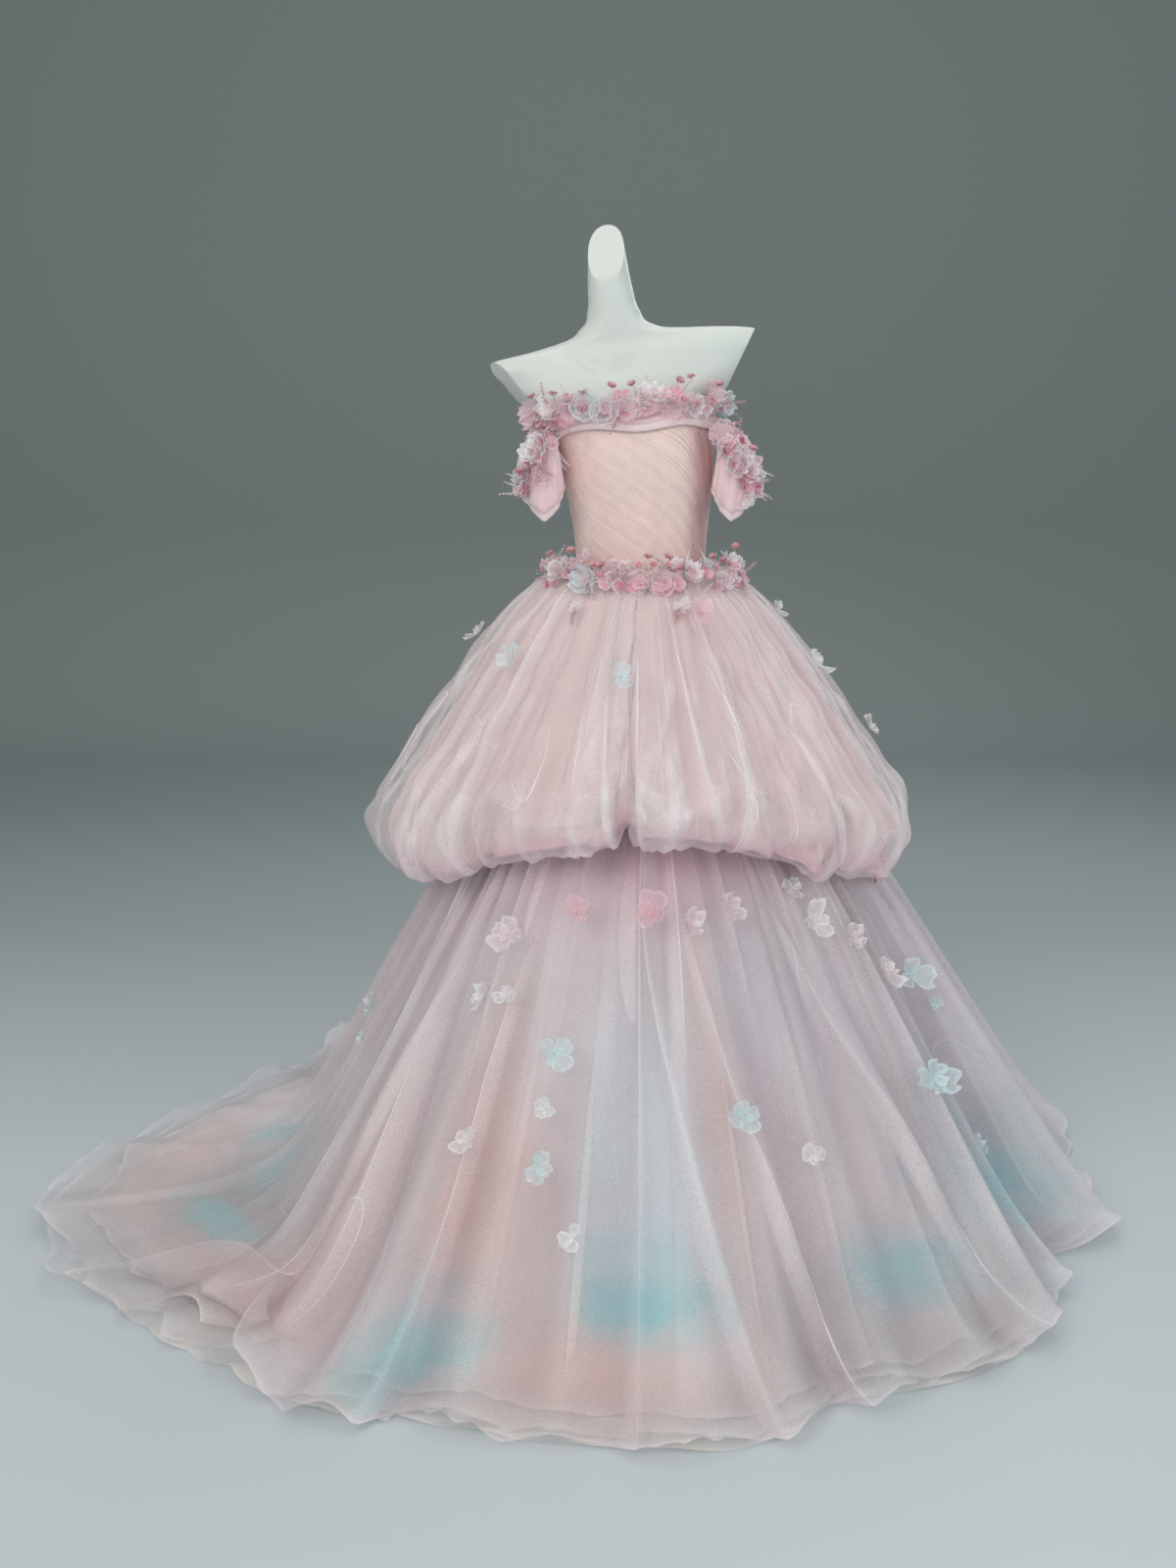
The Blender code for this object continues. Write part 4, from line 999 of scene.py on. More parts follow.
def build_form():
    """The torso with finer sides than the solid, and with the hollows over its collar bones."""
    grid = sampled(form_point, FORM_ANGLES, FORM_LEVELS[::-1])
    x, y, z = grid[..., 0], grid[..., 1], grid[..., 2]
    grid = grid - normals_of(grid, True) * hollow_depth(x, y, z)[..., None]
    rows, columns = grid.shape[:2]
    faces = grid_faces(rows, columns, True).tolist()
    faces.append(list(range(columns)))
    faces.append([(rows - 1) * columns + j for j in reversed(range(columns))])
    torso = mesh_object("dress_form", grid.reshape(-1, 3).tolist(), faces, FORM_FINISH)
    for cut in ARM_CUTS:
        cut_arm(torso, cut)
    edge = torso.modifiers.new("worn edge", "BEVEL")
    edge.width = FORM_EDGE
    edge.segments = 3
    edge.limit_method = "ANGLE"
    edge.angle_limit = math.radians(BEVEL_OVER)
    torso.data.shade_smooth()
    torso.data.set_sharp_from_angle(angle=math.radians(SHARP_OVER))
    put_up(torso, "form", "form_torso")


build_form()
for node in ("form_pole", "form_base"):
    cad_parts[node].data.materials.clear()
    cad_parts[node].data.materials.append(METAL)

# ---------------------------------------------------------------- bodice

# A piece of the bodice: the angles that it spans, how many points across, and its pleats' slope and pitch.
BodicePiece = namedtuple("BodicePiece", "name start end columns slope pitch mirrored")
BODICE = table(
    BodicePiece,
    ("bodice_front", 222.0, 318.0, 190, 38.0, 0.0050, False),
    ("bodice_side_right", 318.0, 375.0, 66, 74.0, 0.0054, False),
    ("bodice_side_left", 165.0, 222.0, 66, 66.0, 0.0054, False),
    ("bodice_back_right", 15.0, 90.0, 84, 70.0, 0.0054, True),
    ("bodice_back_left", 90.0, 165.0, 84, 70.0, 0.0054, False),
)
BODICE_PEACH = (0.99, 0.765, 0.705)
# A rosy-brown painted shade for the right side of the bodice, where it turns away from the light.
BODICE_SHADE_MAUVE = (0.72, 0.46, 0.46)
BODICE_ROWS = 140
BODICE_TUCKED_IN = 0.010
GENTLE_SLOPE = 50.0
PLEAT_TURN = 30.0
PLEAT_DEPTH = 0.0009
PLEAT_CREST = 0.78
SHADED_SIDE = 312.0


def pleat_phase(piece, x, y, width):
    """Which pleat a place is on: straight lines, which turn steep at the right where they start gentle."""
    steep = math.radians(piece.slope)
    if piece.slope < GENTLE_SLOPE:
        steep = steep + math.radians(PLEAT_TURN) * smooth_ramp(x / width, 0.45, 1.1)
    return (x * np.sin(steep) + y * np.cos(steep)) / piece.pitch


def bodice_tint(piece, angles, share, rank):
    """Peach, with painted shade in the grooves between the pleats, deeper towards the right, and a rosy-brown
    painted shade where the bodice turns away at the right.
    """
    # deep is how strong the painted shade in the pleats' grooves is, rising towards the right.
    deep = 0.27 + 0.36 * smooth_ramp(angles, 288.0, 318.0)
    shade = 1.0 - deep * (1 - smooth_ramp(share, 0.0, 0.35)) * (0.6 + 0.5 * np.sin(rank * 1.3))
    around = turn_between(angles, SHADED_SIDE)
    side_shade = smooth_ramp(around, -10.0, 14.0) * (1 - smooth_ramp(around, 22.0, 62.0))
    side_shade = (side_shade * (piece.name in ("bodice_front", "bodice_side_right")))[:, None]
    colour = np.array(BODICE_PEACH) * (1 - side_shade) + np.array(BODICE_SHADE_MAUVE) * side_shade
    return colour[None] * shade[..., None]


def build_bodice(piece):
    """A piece of the bodice with its pleats raised out of the form."""
    levels = np.linspace(BODICE_TOP, BODICE_BOTTOM - BODICE_TUCKED_IN, 25)
    coarse = sampled(form_point, np.linspace(piece.start, piece.end, 49), levels)
    base = finer(coarse, BODICE_ROWS, piece.columns)
    out = normals_of(base, False)
    steps = np.linalg.norm(np.diff(base, axis=1), axis=2)
    x = np.concatenate([np.zeros((BODICE_ROWS, 1)), np.cumsum(steps, axis=1)], axis=1)
    width = float(x[:, -1].mean())
    if piece.mirrored:
        x = x[:, -1:] - x
    y = base[..., 2] - BODICE_BOTTOM
    phase = pleat_phase(piece, x, y, width)
    share = phase % 1.0
    rank = np.floor(phase)
    profile = np.where(share < PLEAT_CREST, share / PLEAT_CREST, (1 - share) / (1 - PLEAT_CREST))
    uneven = 0.75 + 0.35 * np.sin(rank * 2.1) + 0.15 * np.sin(3 * rank + 9 * y)
    lift = BODICE_CLEARANCE + BODICE_CLOTH + PLEAT_DEPTH * profile * uneven
    points = base + out * lift[..., None]
    tint = bodice_tint(piece, np.linspace(piece.start, piece.end, piece.columns), share, rank)
    made = grid_object(piece.name + "_pleats", points, BODICE_CLOTH_FINISH, tint)
    put_up(made, "bodice_tulle", piece.name)


for each in BODICE:
    build_bodice(each)

# ---------------------------------------------------------------- band and sleeves

# A piece of the band: the angles that it spans and how many points across.
BandPiece = namedtuple("BandPiece", "name start end columns")
BAND_PIECES = table(
    BandPiece,
    ("band_front", 199.0, 341.0, 210),
    ("band_back_right", 19.0, 90.0, 100),
    ("band_back_left", 90.0, 161.0, 100),
)
# Across the folded band, bottom edge to top: how far it stands off the form.
BandSection = namedtuple("BandSection", "level off")
BAND = table(
    BandSection,
    (1.298, 0.0104),
    (1.303, 0.0148),
    (1.309, 0.0156),
    (1.320, 0.0126),
    (1.333, 0.0152),
    (1.343, 0.0084),
)
BAND_ROSE = (0.95, 0.71, 0.73)
BAND_LIGHT = (0.955, 0.775, 0.775)
BAND_ROWS = 30
BAND_CLOTH = 0.0012
BROAD_FOLD = 0.0016
FINE_FOLD = 0.0008


def mixed(first, second, part):
    """The first colour where part is 0 and the second where it is 1."""
    return np.array(first) * (1 - part)[..., None] + np.array(second) * part[..., None]


def build_band(piece):
    """A piece of the folded band, with a lighter strip along its lower edge, painted shade in the troughs of
    its folds and painted shadow lines at the strip's top and along the lower edge.
    """
    off = Curve(column(BAND, "level"), column(BAND, "off"))
    levels = np.linspace(BAND[-1].level, BAND[0].level, BAND_ROWS)

    def surface(angle, level):
        front = max(0.0, -math.sin(math.radians(angle)))
        return form_point(angle, level + BAND_WAVE * math.sin(math.radians(5 * angle)) * front)

    base = sampled(surface, np.linspace(piece.start, piece.end, 73), levels)
    base = resampled(base, piece.columns, 1)
    angles = np.linspace(piece.start, piece.end, piece.columns)[None]
    shares = shares_down(BAND_ROWS)
    folds = BROAD_FOLD * np.sin(15 * shares + 1.4 * np.sin(np.radians(angles * 3.0)) + 0.03 * angles)
    folds += FINE_FOLD * np.sin(34 * shares + 2.0 * np.sin(np.radians(angles * 5.0)))
    folds = folds * np.sin(np.pi * np.clip(shares, 0, 0.8) / 0.8)
    lift = np.array([off(level) for level in levels])[:, None] + folds
    points = base + normals_of(base, False) * lift[..., None]
    strip = smooth_ramp(shares, 0.76, 0.80) * (1 - smooth_ramp(shares, 0.965, 0.985))
    # Painted shadow lines at the top of the strip and along the lower edge, and painted shade in the troughs
    # of the folds.
    line = np.exp(-(((shares - 0.77) / 0.02) ** 2)) + 1.2 * np.exp(-(((shares - 1.0) / 0.02) ** 2))
    shade = 1 - 0.35 * line - 60 * np.maximum(-folds, 0)
    tint = mixed(BAND_ROSE, BAND_LIGHT, strip) * shade[..., None]
    made = grid_object(piece.name + "_folds", points, BAND_FINISH, tint, thickness=BAND_CLOTH)
    put_up(made, "band_tulle", piece.name)
    length = float(np.linalg.norm(np.diff(points[BAND_ROWS // 2], axis=0), axis=1).sum())


for each in BAND_PIECES:
    build_band(each)

SLEEVE_CLOTH = 0.0010
SLEEVE_ROWS = 36
SLEEVE_COLUMNS = 128
SLEEVE_LENGTH = 0.115


def build_sleeve(name, side):
    """A loop sleeve with soft gathers, painted shade in their troughs, and a lighter rim."""

    def surface(angle, share):
        """The solid's own face, but its rims run straight to the hanging corner."""
        away = abs(turn_between(angle, SLEEVE_POINT))
        droop = SLEEVE_CURVES["droop"](share) * (max(0.0, 1 - away / 72.0) ** 0.9 - bump(away, 100))
        return sleeve_point(side, angle, share) + np.array((0.0, 0.0, -droop))

    base = sampled(surface, np.arange(0.0, 360.0, 5.0), np.linspace(0.0, 1.0, 15))
    base = finer(base, SLEEVE_ROWS, SLEEVE_COLUMNS, closed=True)
    if side > 0:
        base = base[:, ::-1]
    turn = np.radians(angles_round(SLEEVE_COLUMNS))
    at = shares_down(SLEEVE_ROWS)
    folds = 0.0015 * np.sin(9 * turn + 2.2 * at + 0.8 * np.sin(2 * turn)) * (0.3 + 0.7 * at)
    folds += FINE_FOLD * np.sin(17 * turn - 3.0 * at)
    points = base + normals_of(base, True) * folds[..., None]
    seam = np.exp(-(((at - 0.91) / 0.014) ** 2))
    # Painted shade in the troughs of the gathers.
    shade = 1 - 45 * np.maximum(-folds, 0) - 0.25 * seam
    tint = mixed(BAND_ROSE, BAND_LIGHT, smooth_ramp(at, 0.92, 0.95)) * shade[..., None]
    made = grid_object(name + "_loop", points, BAND_FINISH, tint, closed=True, thickness=SLEEVE_CLOTH)
    put_up(made, "band_tulle", name)
    flat = (round(area_of(points) / SLEEVE_LENGTH, 3), SLEEVE_LENGTH)


build_sleeve("sleeve_left", 1)
build_sleeve("sleeve_right", -1)

# ---------------------------------------------------------------- skirts

FORM_SHARES = np.linspace(0.0, 1.0, 49)
# The tulle is tucked up more softly than the solid says, but for the deep narrow tuck in front.
SOFT_TACKS = table(
    Tack,
    (205, 5.0, 0.010),
    (233, 2.5, 0.014),
    (266, 2.2, 0.030),
    (289, 4.0, 0.008),
    (310, 4.0, -0.014),
    (316, 3.0, 0.024),
    (223, 6.0, -0.010),
    (346, 5.0, 0.012),
    (25, 4.0, 0.014),
    (62, 3.0, 0.026),
    (98, 5.0, 0.012),
    (134, 3.0, 0.026),
    (168, 5.0, 0.012),
)
SOFTENED = 0.62
SOFT_FOLDS = [fold._replace(depth=SOFTENED * fold.depth) for fold in ALL_PUFF_FOLDS]
SOFT_FOLDS.append(Fold(266.6, 2.0, 0.014, 0.82))


def soft_puff_point(angle, at):
    """The overskirt's cloth: the solid's own form with softer tucks and folds."""
    return puff_point(angle, at, SOFT_TACKS, SOFT_FOLDS)


PUFF_FORM = sampled(soft_puff_point, RING, FORM_SHARES)
SKIRT_FORM = sampled(skirt_point, RING, FORM_SHARES)

# The bubble's billows: how far they stand out, how far they move its bulge up and down, and their seed.
BILLOW = 0.007
BILLOW_SHIFT = 0.055
BILLOW_SEED = 5
ABOVE_SKIRT = 0.006

# How a skirt's tulle looks: how much denser where it is gathered at the waist, at its hem, in its panels
# that lap over each other and on the flanks of its creases, and how strong the painted shade is on the
# flanks and between the folds.
TulleLook = namedtuple("TulleLook", "gathers hem panels lapped flank_cover flank_shade hollow_shade")
OVER_LOOK = TulleLook(0.22, 0.18, 26, 0.18, 0.50, 0.16, 0.13)
UNDER_LOOK = TulleLook(0.20, 0.25, 20, 0.20, 0.45, 0.10, 0.15)
# The underskirt's nets are denser and all its layers carry a painted highlight on their folds, its ground is
# thinner at the hem, and its nets carry the patches of dye and painted shade more faintly.
PROUD_COVER = 0.08
PROUD_PAINTED_HIGHLIGHT = 0.04
HEM_THINNED = 0.45
NET_DYE_AND_SHADE = 0.48

# How deep the cloth lies where the painted shade is full, half the angle that a fold is compared over, and
# what the painted shade takes of each colour.
FOLD_SHADE_DEPTH = 0.020
HOLLOW_HALF_SPAN = 7.0
FOLD_SHADE = (1.0, 1.35, 1.2)
OVER_BLUSH = (0.88, 0.69, 0.68)
OVER_MILK = (1.0, 0.93, 0.93)
MIST = (0.865, 0.795, 0.81)
DUSTY = (0.74, 0.55, 0.54)
PALE_ROSE = (0.95, 0.78, 0.78)

# A tulle layer of a skirt: how far it lies inside the solid's form at its hem, its creases, how dense it
# is, how clearly its folds show, and how far out its hem reaches.
Layer = namedtuple("Layer", "name columns rows inset seed creases depth width start density lines hem")
OVER_LAYERS = table(
    Layer,
    ("overskirt_sheer", 720, 104, 0.000, 3, 64, 0.010, 4.4, 0.00, 0.20, 0.30, 1.0),
    ("overskirt_blush", 420, 72, 0.028, 11, 36, 0.012, 5.6, 0.05, 0.92, 0.10, 1.0),
)
UNDER_LAYERS = table(
    Layer,
    ("underskirt_net", 800, 84, 0.000, 21, 48, 0.020, 4.6, 0.05, 0.16, 0.34, 1.0),
    ("underskirt_middle", 560, 64, 0.022, 33, 36, 0.022, 6.0, 0.10, 0.24, 0.30, 0.975),
    ("underskirt_dyed", 420, 80, 0.045, 47, 26, 0.022, 7.0, 0.15, 0.95, 0.0, 0.925),
)

SWAG_WIDTH = 0.060
SWAG_DEPTH = 0.0035


def swags_between(first, after):
    """Three swags between two tacks: each starts lower and sags less than the one before it."""
    across = turn_between(after.angle, first.angle)
    middle = (first.angle + across / 2) % 360
    made = []
    for k in range(3):
        lower = 0.05 * k
        made.append(Swag(middle, abs(across) / 2, 0.60 + lower, 0.20 - lower, SWAG_WIDTH, SWAG_DEPTH))
    return made


SWAGS = [swag for pair in zip(TACKS, TACKS[1:] + TACKS[:1]) for swag in swags_between(*pair)]


def tack_creases(seed):
    """Creases that fan upwards from where the bubble is tacked up."""
    draw = random.Random(seed)
    made = []
    for tack in SOFT_TACKS:
        for k in range(5):
            away = (k - 2) * draw.uniform(3.0, 6.5)
            low = tack.angle + 0.12 * away
            start = draw.uniform(0.35, 0.6)
            deep = 0.005 + 0.10 * max(0.0, tack.lift - 0.012)
            made.append(Crease(tack.angle + away, low, 1.5, start, 1.6, 2.0, deep, 0.3, draw.random() ** 1.2))
    return made


PUFF_PATCHES = table(
    Patch,
    (224, 0.45, 20, 0.18, 0.10, LILAC),
    (240, 0.62, 14, 0.22, 0.35, DUSTY),
    (266, 0.22, 46, 0.22, 0.32, DUSTY),
    (262, 0.30, 9, 0.25, 0.30, OVER_MILK),
    (290, 0.55, 10, 0.20, 0.35, OVER_MILK),
    (200, 0.85, 25, 0.12, 0.30, OVER_MILK),
    (330, 0.40, 16, 0.22, 0.15, LILAC),
    (306, 0.80, 16, 0.14, 0.25, DUSTY),
    (70, 0.50, 30, 0.25, 0.30, OVER_MILK),
    (130, 0.40, 25, 0.25, 0.30, LILAC),
)
# Painted shade: the grey patches stand for the shadow under the skirt seen through its tulle, the teal ones
# for the aqua dye in that shadow.
SHADOW_GREY = (0.50, 0.49, 0.50)
SHADED_TEAL = (0.30, 0.52, 0.56)
SKIRT_PATCHES = table(
    Patch,
    (306, 0.58, 14, 0.18, 0.35, LILAC),
    (340, 0.60, 14, 0.20, 0.55, LILAC),
    (10, 0.62, 14, 0.20, 0.45, LILAC),
    (150, 0.60, 14, 0.20, 0.45, LILAC),
    (296, 0.93, 12, 0.09, 0.60, SHADOW_GREY),
    (320, 0.68, 14, 0.22, 0.30, SHADOW_GREY),
    (328, 0.84, 9, 0.13, 0.65, SHADED_TEAL),
    (318, 0.95, 12, 0.06, 0.45, SHADOW_GREY),
    (195, 0.70, 14, 0.18, 0.85, SHADOW_GREY),
    (226, 0.92, 9, 0.08, 0.60, DUSTY),
    (208, 0.82, 9, 0.20, 0.60, SHADOW_GREY),
    (201, 0.64, 6, 0.16, 0.40, SHADOW_GREY),
    (186, 0.92, 14, 0.08, 0.45, SHADOW_GREY),
    (86, 0.70, 14, 0.20, 0.40, ICE),
    (268, 0.65, 9, 0.17, 0.85, ICE),
    (272, 0.46, 16, 0.08, 0.40, PALE_ROSE),
    (272, 0.74, 8, 0.10, 0.75, ICE, 0.6),
    (291, 0.52, 8, 0.14, 0.45, ICE),
    (251, 0.78, 7, 0.16, 0.75, PEACH, 0.3),
    (244, 0.66, 4, 0.14, 0.50, PEACH),
    (264, 0.940, 14, 0.055, 0.80, PEACH, 0.3),
    (228, 0.74, 7, 0.20, 0.60, PEACH, 0.3),
    (283, 0.66, 3.0, 0.26, 0.55, PEACH),
    (214, 0.84, 8, 0.08, 0.55, PEACH, 0.5),
    (186, 0.85, 16, 0.12, 0.35, PEACH),
    (46, 0.75, 16, 0.16, 0.45, PEACH),
    (122, 0.75, 14, 0.16, 0.45, PEACH),
    (268.5, 0.866, 4.2, 0.034, 0.95, AQUA, 0.7),
    (275, 0.862, 6.0, 0.026, 0.80, AQUA, 0.6),
    (271, 0.815, 8, 0.035, 0.45, AQUA, 0.4),
    (244, 0.920, 3.8, 0.065, 0.98, AQUA, 0.5),
    (251, 0.915, 5, 0.040, 0.60, AQUA, 0.4),
    (304, 0.875, 8.0, 0.036, 0.85, AQUA, 0.6),
    (329, 0.88, 7, 0.06, 0.85, AQUA, 0.7),
    (321, 0.76, 4, 0.10, 0.45, AQUA),
    (202, 0.74, 7, 0.05, 0.75, AQUA, 0.7),
    (190, 0.60, 8, 0.05, 0.50, AQUA, 0.5),
    (352, 0.83, 10, 0.06, 0.70, AQUA, 0.7),
    (28, 0.84, 11, 0.05, 0.75, AQUA, 0.7),
    (66, 0.86, 10, 0.05, 0.75, AQUA, 0.7),
    (104, 0.82, 11, 0.06, 0.70, AQUA, 0.7),
    (140, 0.80, 10, 0.05, 0.70, AQUA, 0.7),
    (172, 0.72, 9, 0.05, 0.65, AQUA, 0.7),
)


def rose_rim(tint, shares, middle, width, strength):
    """A rosier stretch round the skirt."""
    part = (strength * np.exp(-(((shares - middle) / width) ** 2)) + 0 * tint[..., 0])[..., None]
    return tint * (1 - part) + np.array(ROSE) * part


def hollows(points):
    """How deep the cloth lies between its folds, and how far it stands on them, from 0 to 1."""
    reach = np.hypot(points[..., 0], points[..., 1])
    half = max(1, round(HOLLOW_HALF_SPAN * reach.shape[1] / 360))
    ring = np.concatenate([reach[:, -half:], reach, reach[:, :half]], axis=1)
    total = np.cumsum(np.concatenate([np.zeros((ring.shape[0], 1)), ring], axis=1), axis=1)
    mean = (total[:, 2 * half + 1 :] - total[:, : -2 * half - 1]) / (2 * half + 1)
    depth = (mean - reach) / FOLD_SHADE_DEPTH
    return np.clip(depth, 0.0, 1.0), np.clip(-depth, 0.0, 1.0)


def flank(points, lift):
    """How steeply the creases stand up, from 0 to 1."""
    across = np.linalg.norm(np.roll(points, -1, 1) - np.roll(points, 1, 1), axis=2)
    return np.clip(np.abs(np.roll(lift, -1, 1) - np.roll(lift, 1, 1)) / np.maximum(across, 1e-6), 0.0, 1.0)


# The long folded edges, placed one by one.
OVER_CREASES = table(
    Crease,
    (266.0, 270.8, 1.4, 0.26, 1.6, 3.2, 0.012, 0.6, 1.0),
    (279.0, 286.0, 1.2, 0.20, 0.98, 3.2, 0.012, -0.5, 1.0),
    (250.0, 258.0, 1.3, 0.40, 1.6, 3.0, 0.010, 0.5, 0.8),
    (296.0, 290.0, 1.3, 0.45, 1.6, 3.0, 0.010, -0.5, 0.9),
    (238.0, 246.0, 1.4, 0.55, 1.6, 3.0, 0.010, 0.5, 0.8),
    (226.0, 214.0, 1.2, 0.30, 0.95, 3.6, 0.012, -0.5, 0.9),
    (306.0, 315.0, 1.3, 0.35, 1.6, 3.6, 0.012, 0.5, 0.9),
)
UNDER_CREASES = table(
    Crease,
    (260.0, 283.0, 1.0, 0.34, 1.6, 4.0, 0.022, 0.6, 1.0),
    (268.0, 292.0, 1.0, 0.36, 1.6, 4.0, 0.022, 0.6, 0.9),
    (287.0, 314.0, 1.0, 0.34, 1.6, 5.0, 0.022, 0.35, 0.9),
    (246.0, 217.0, 1.1, 0.34, 0.97, 5.5, 0.020, -0.25, 0.9),
    (250.0, 244.0, 1.0, 0.40, 1.6, 4.0, 0.020, -0.6, 0.8),
    (236.0, 208.0, 1.0, 0.50, 0.97, 5.5, 0.018, 0.25, 0.8),
    (70.0, 84.0, 1.0, 0.36, 1.6, 4.5, 0.022, 0.5, 0.9),
    (128.0, 112.0, 1.0, 0.36, 1.6, 4.5, 0.022, -0.5, 0.9),
)
FRONT_LOOPS = table(
    Loop,
    (243.0, 0.62, 3.5, 0.10, 0.9, 0.8),
    (262.5, 0.66, 1.6, 0.08, -0.7, 0.5),
    (273.0, 0.70, 4.5, 0.13, 0.4, 0.9),
    (277.0, 0.86, 4.0, 0.09, -0.5, 0.6),
    (291.0, 0.58, 2.4, 0.16, -0.25, 0.9),
    (299.0, 0.74, 3.6, 0.12, 0.8, 0.7),
    (317.0, 0.80, 5.0, 0.12, -0.6, 0.8),
    (213.0, 0.78, 6.0, 0.14, 0.5, 0.7),
    (192.0, 0.74, 7.0, 0.12, -0.3, 0.8),
)
OVER_LOOPS = FRONT_LOOPS + scattered_loops(71, 34, 0.45, 0.95)
UNDER_LOOPS = table(
    Loop,
    (223.0, 0.72, 4.0, 0.10, 0.6, 0.6),
    (231.0, 0.80, 3.2, 0.08, -0.8, 0.7),
    (214.0, 0.62, 4.0, 0.09, 0.9, 0.5),
)
UNDER_LOOPS += [loop._replace(shine=0.45 * loop.shine) for loop in scattered_loops(72, 18, 0.70, 0.97)]


def billowed(form, angles, shares, seed):
    """The form with its bulge higher here and lower there, as tucked-up tulle hangs."""
    shift = BILLOW_SHIFT * drift(angles, 0.3, seed, 4.0) * np.sin(np.pi * shares)
    flat_angles = (angles + 0 * shares).ravel()
    return on_grid(form, flat_angles, (shares + shift).ravel()).reshape(form.shape)


def layer_grid(layer, form):
    """The angles and shares of a layer's points, and the form at its own fineness."""
    fine_form = finer(form, layer.rows, layer.columns, closed=True)
    return angles_round(layer.columns), shares_down(layer.rows), fine_form


def edge_paths(creases, loops):
    return [crease_path(crease) for crease in creases] + [loop_path(loop) for loop in loops]


def over_layer(layer):
    """A layer of the bubble: the outer one is a clear net with loops, the inner one a gathered ground."""
    outer = layer.inset == 0
    angles, shares, form = layer_grid(layer, PUFF_FORM)
    form = billowed(form, angles, shares, BILLOW_SEED)
    out = normals_of(form, True)
    creases = crease_fan(layer.seed, layer.creases, layer.depth, layer.width, layer.start, stray=4.0)
    creases += tack_creases(layer.seed + 1) + (OVER_CREASES if outer else [])
    lift, doubled = pressed(creases, angles, shares)
    lift = lift * smooth_ramp(shares, 0.0, 0.35) * (1 - 0.5 * smooth_ramp(shares, 0.9, 1.0))
    lift = lift + hung(SWAGS, angles, shares) * (1 if outer else 0.4)
    loops = OVER_LOOPS if outer else []
    raised, lapping = crumpled(loops, angles, shares)
    lift = lift + raised
    billow = BILLOW * drift(angles, shares, layer.seed, 2.0) * np.sin(np.pi * shares)
    inset = layer.inset * smooth_ramp(shares, 0.0, 0.6) * (1 - 0.75 * smooth_ramp(shares, 0.82, 0.98))
    inset = inset + 0.5 * layer.depth * smooth_ramp(shares, 0.0, 0.4)
    points = form + out * (lift + billow - inset)[..., None]
    clear_of_skirt(points, angles, ABOVE_SKIRT)
    under_side(points, angles)
    steep = flank(points, lift)
    gathers = OVER_LOOK.gathers * (1 - smooth_ramp(shares, 0.0, 0.30))
    gathers = gathers + OVER_LOOK.hem * smooth_ramp(shares, 0.86, 1.0)
    density = layer.density + gathers + layer.lines * (OVER_LOOK.flank_cover * steep + doubled)
    if outer:
        panels = lapped(creases, angles, shares, OVER_LOOK.panels, layer.seed)
        density = density + OVER_LOOK.lapped * (panels + lapping)
    tint = dyed_and_shaded(OVER_MILK if outer else OVER_BLUSH, PUFF_PATCHES, angles, shares, layer.seed)
    hollow = hollows(points)[0]
    # Painted shade between the folds and, on the inner layer, on the flanks of the creases.
    deep = OVER_LOOK.hollow_shade * hollow * smooth_ramp(shares, 0.1, 0.4)
    deep = deep + OVER_LOOK.flank_shade * steep * (not outer)
    tint = tint * (1 - deep[..., None] * np.array(FOLD_SHADE))
    tint = rose_rim(tint, shares, 0.95, 0.09, 0.28 if outer else 0.55)
    made = grid_object(layer.name, points, SHEER if outer else MILKY, tint, density, closed=True)
    return made, points, edge_paths(creases, loops)


TUCK_STARTS = 0.88


def under_side(points, angles):
    """Keeps the tucked-in hem under the bubble, where it was pushed out past its own edge."""
    rows = points.shape[0]
    first = int(TUCK_STARTS * rows)
    outward = np.stack([direction(angle) for angle in angles[0]])
    most = (points[first] * outward).sum(axis=1)
    for i in range(first + 1, rows):
        over = np.maximum((points[i] * outward).sum(axis=1) - most, 0.0)
        points[i] -= outward * over[:, None]


FREE_BELOW = 0.95


def clear_of_skirt(points, angles, gap):
    """Moves out what would dip into the underskirt's own form."""
    middle = WAIST_CENTRE_X * np.clip(points[..., 2] / WAIST_LEVEL, 0, 1)
    reach = np.hypot(points[..., 0] - middle, points[..., 1])
    for j, angle in enumerate(angles[0].tolist()):
        falls, reaches = skirt_profile(round(angle / RING_STEP) * RING_STEP % 360)
        least = np.interp(-points[:, j, 2], falls, reaches) + gap
        short = np.maximum(least - reach[:, j], 0.0) * (points[:, j, 2] < FREE_BELOW)
        points[:, j] += short[:, None] * direction(angle)


# The corner of the train's outer net that is turned over on itself.
FLIP_ANGLE = 222.0
FLIP_WIDTH = 13.0
FLIP_STARTS = 0.90
FLIP_TURN = 158.0
FLIP_FLATTENED = 0.55


def hem_flip(points, angles):
    """Turns the corner over."""
    there = np.array([bump(turn_between(angle, FLIP_ANGLE), FLIP_WIDTH) for angle in angles[0]])
    turned = math.radians(FLIP_TURN) * there**0.6
    outward = np.stack([direction(angle) for angle in angles[0]])
    rows = points.shape[0]
    first = int(FLIP_STARTS * (rows - 1))
    hinge = points[first]
    mixed_in = np.clip(turned / 0.15, 0, 1)[:, None]
    for i in range(first + 1, rows):
        far = np.linalg.norm((points[i] - hinge)[:, :2], axis=1)
        bent = hinge + outward * (far * np.cos(turned))[:, None]
        height = hinge[:, 2] + far * np.sin(turned) * FLIP_FLATTENED + 0.004 * (turned > 0.1)
        bent[:, 2] = np.maximum(height, 0.0015)
        points[i] = points[i] * (1 - mixed_in) + bent * mixed_in


# The pointed corners of the hems beside the train: how far apart they are, how far they reach, and how far
# each layer runs out there past the solid's hem.
HEM_POINT_STEP = 6.2
HEM_POINT_REACH = 0.034
PAST_TRAIN = {"underskirt_net": 0.050, "underskirt_middle": 0.034, "underskirt_dyed": 0.010}
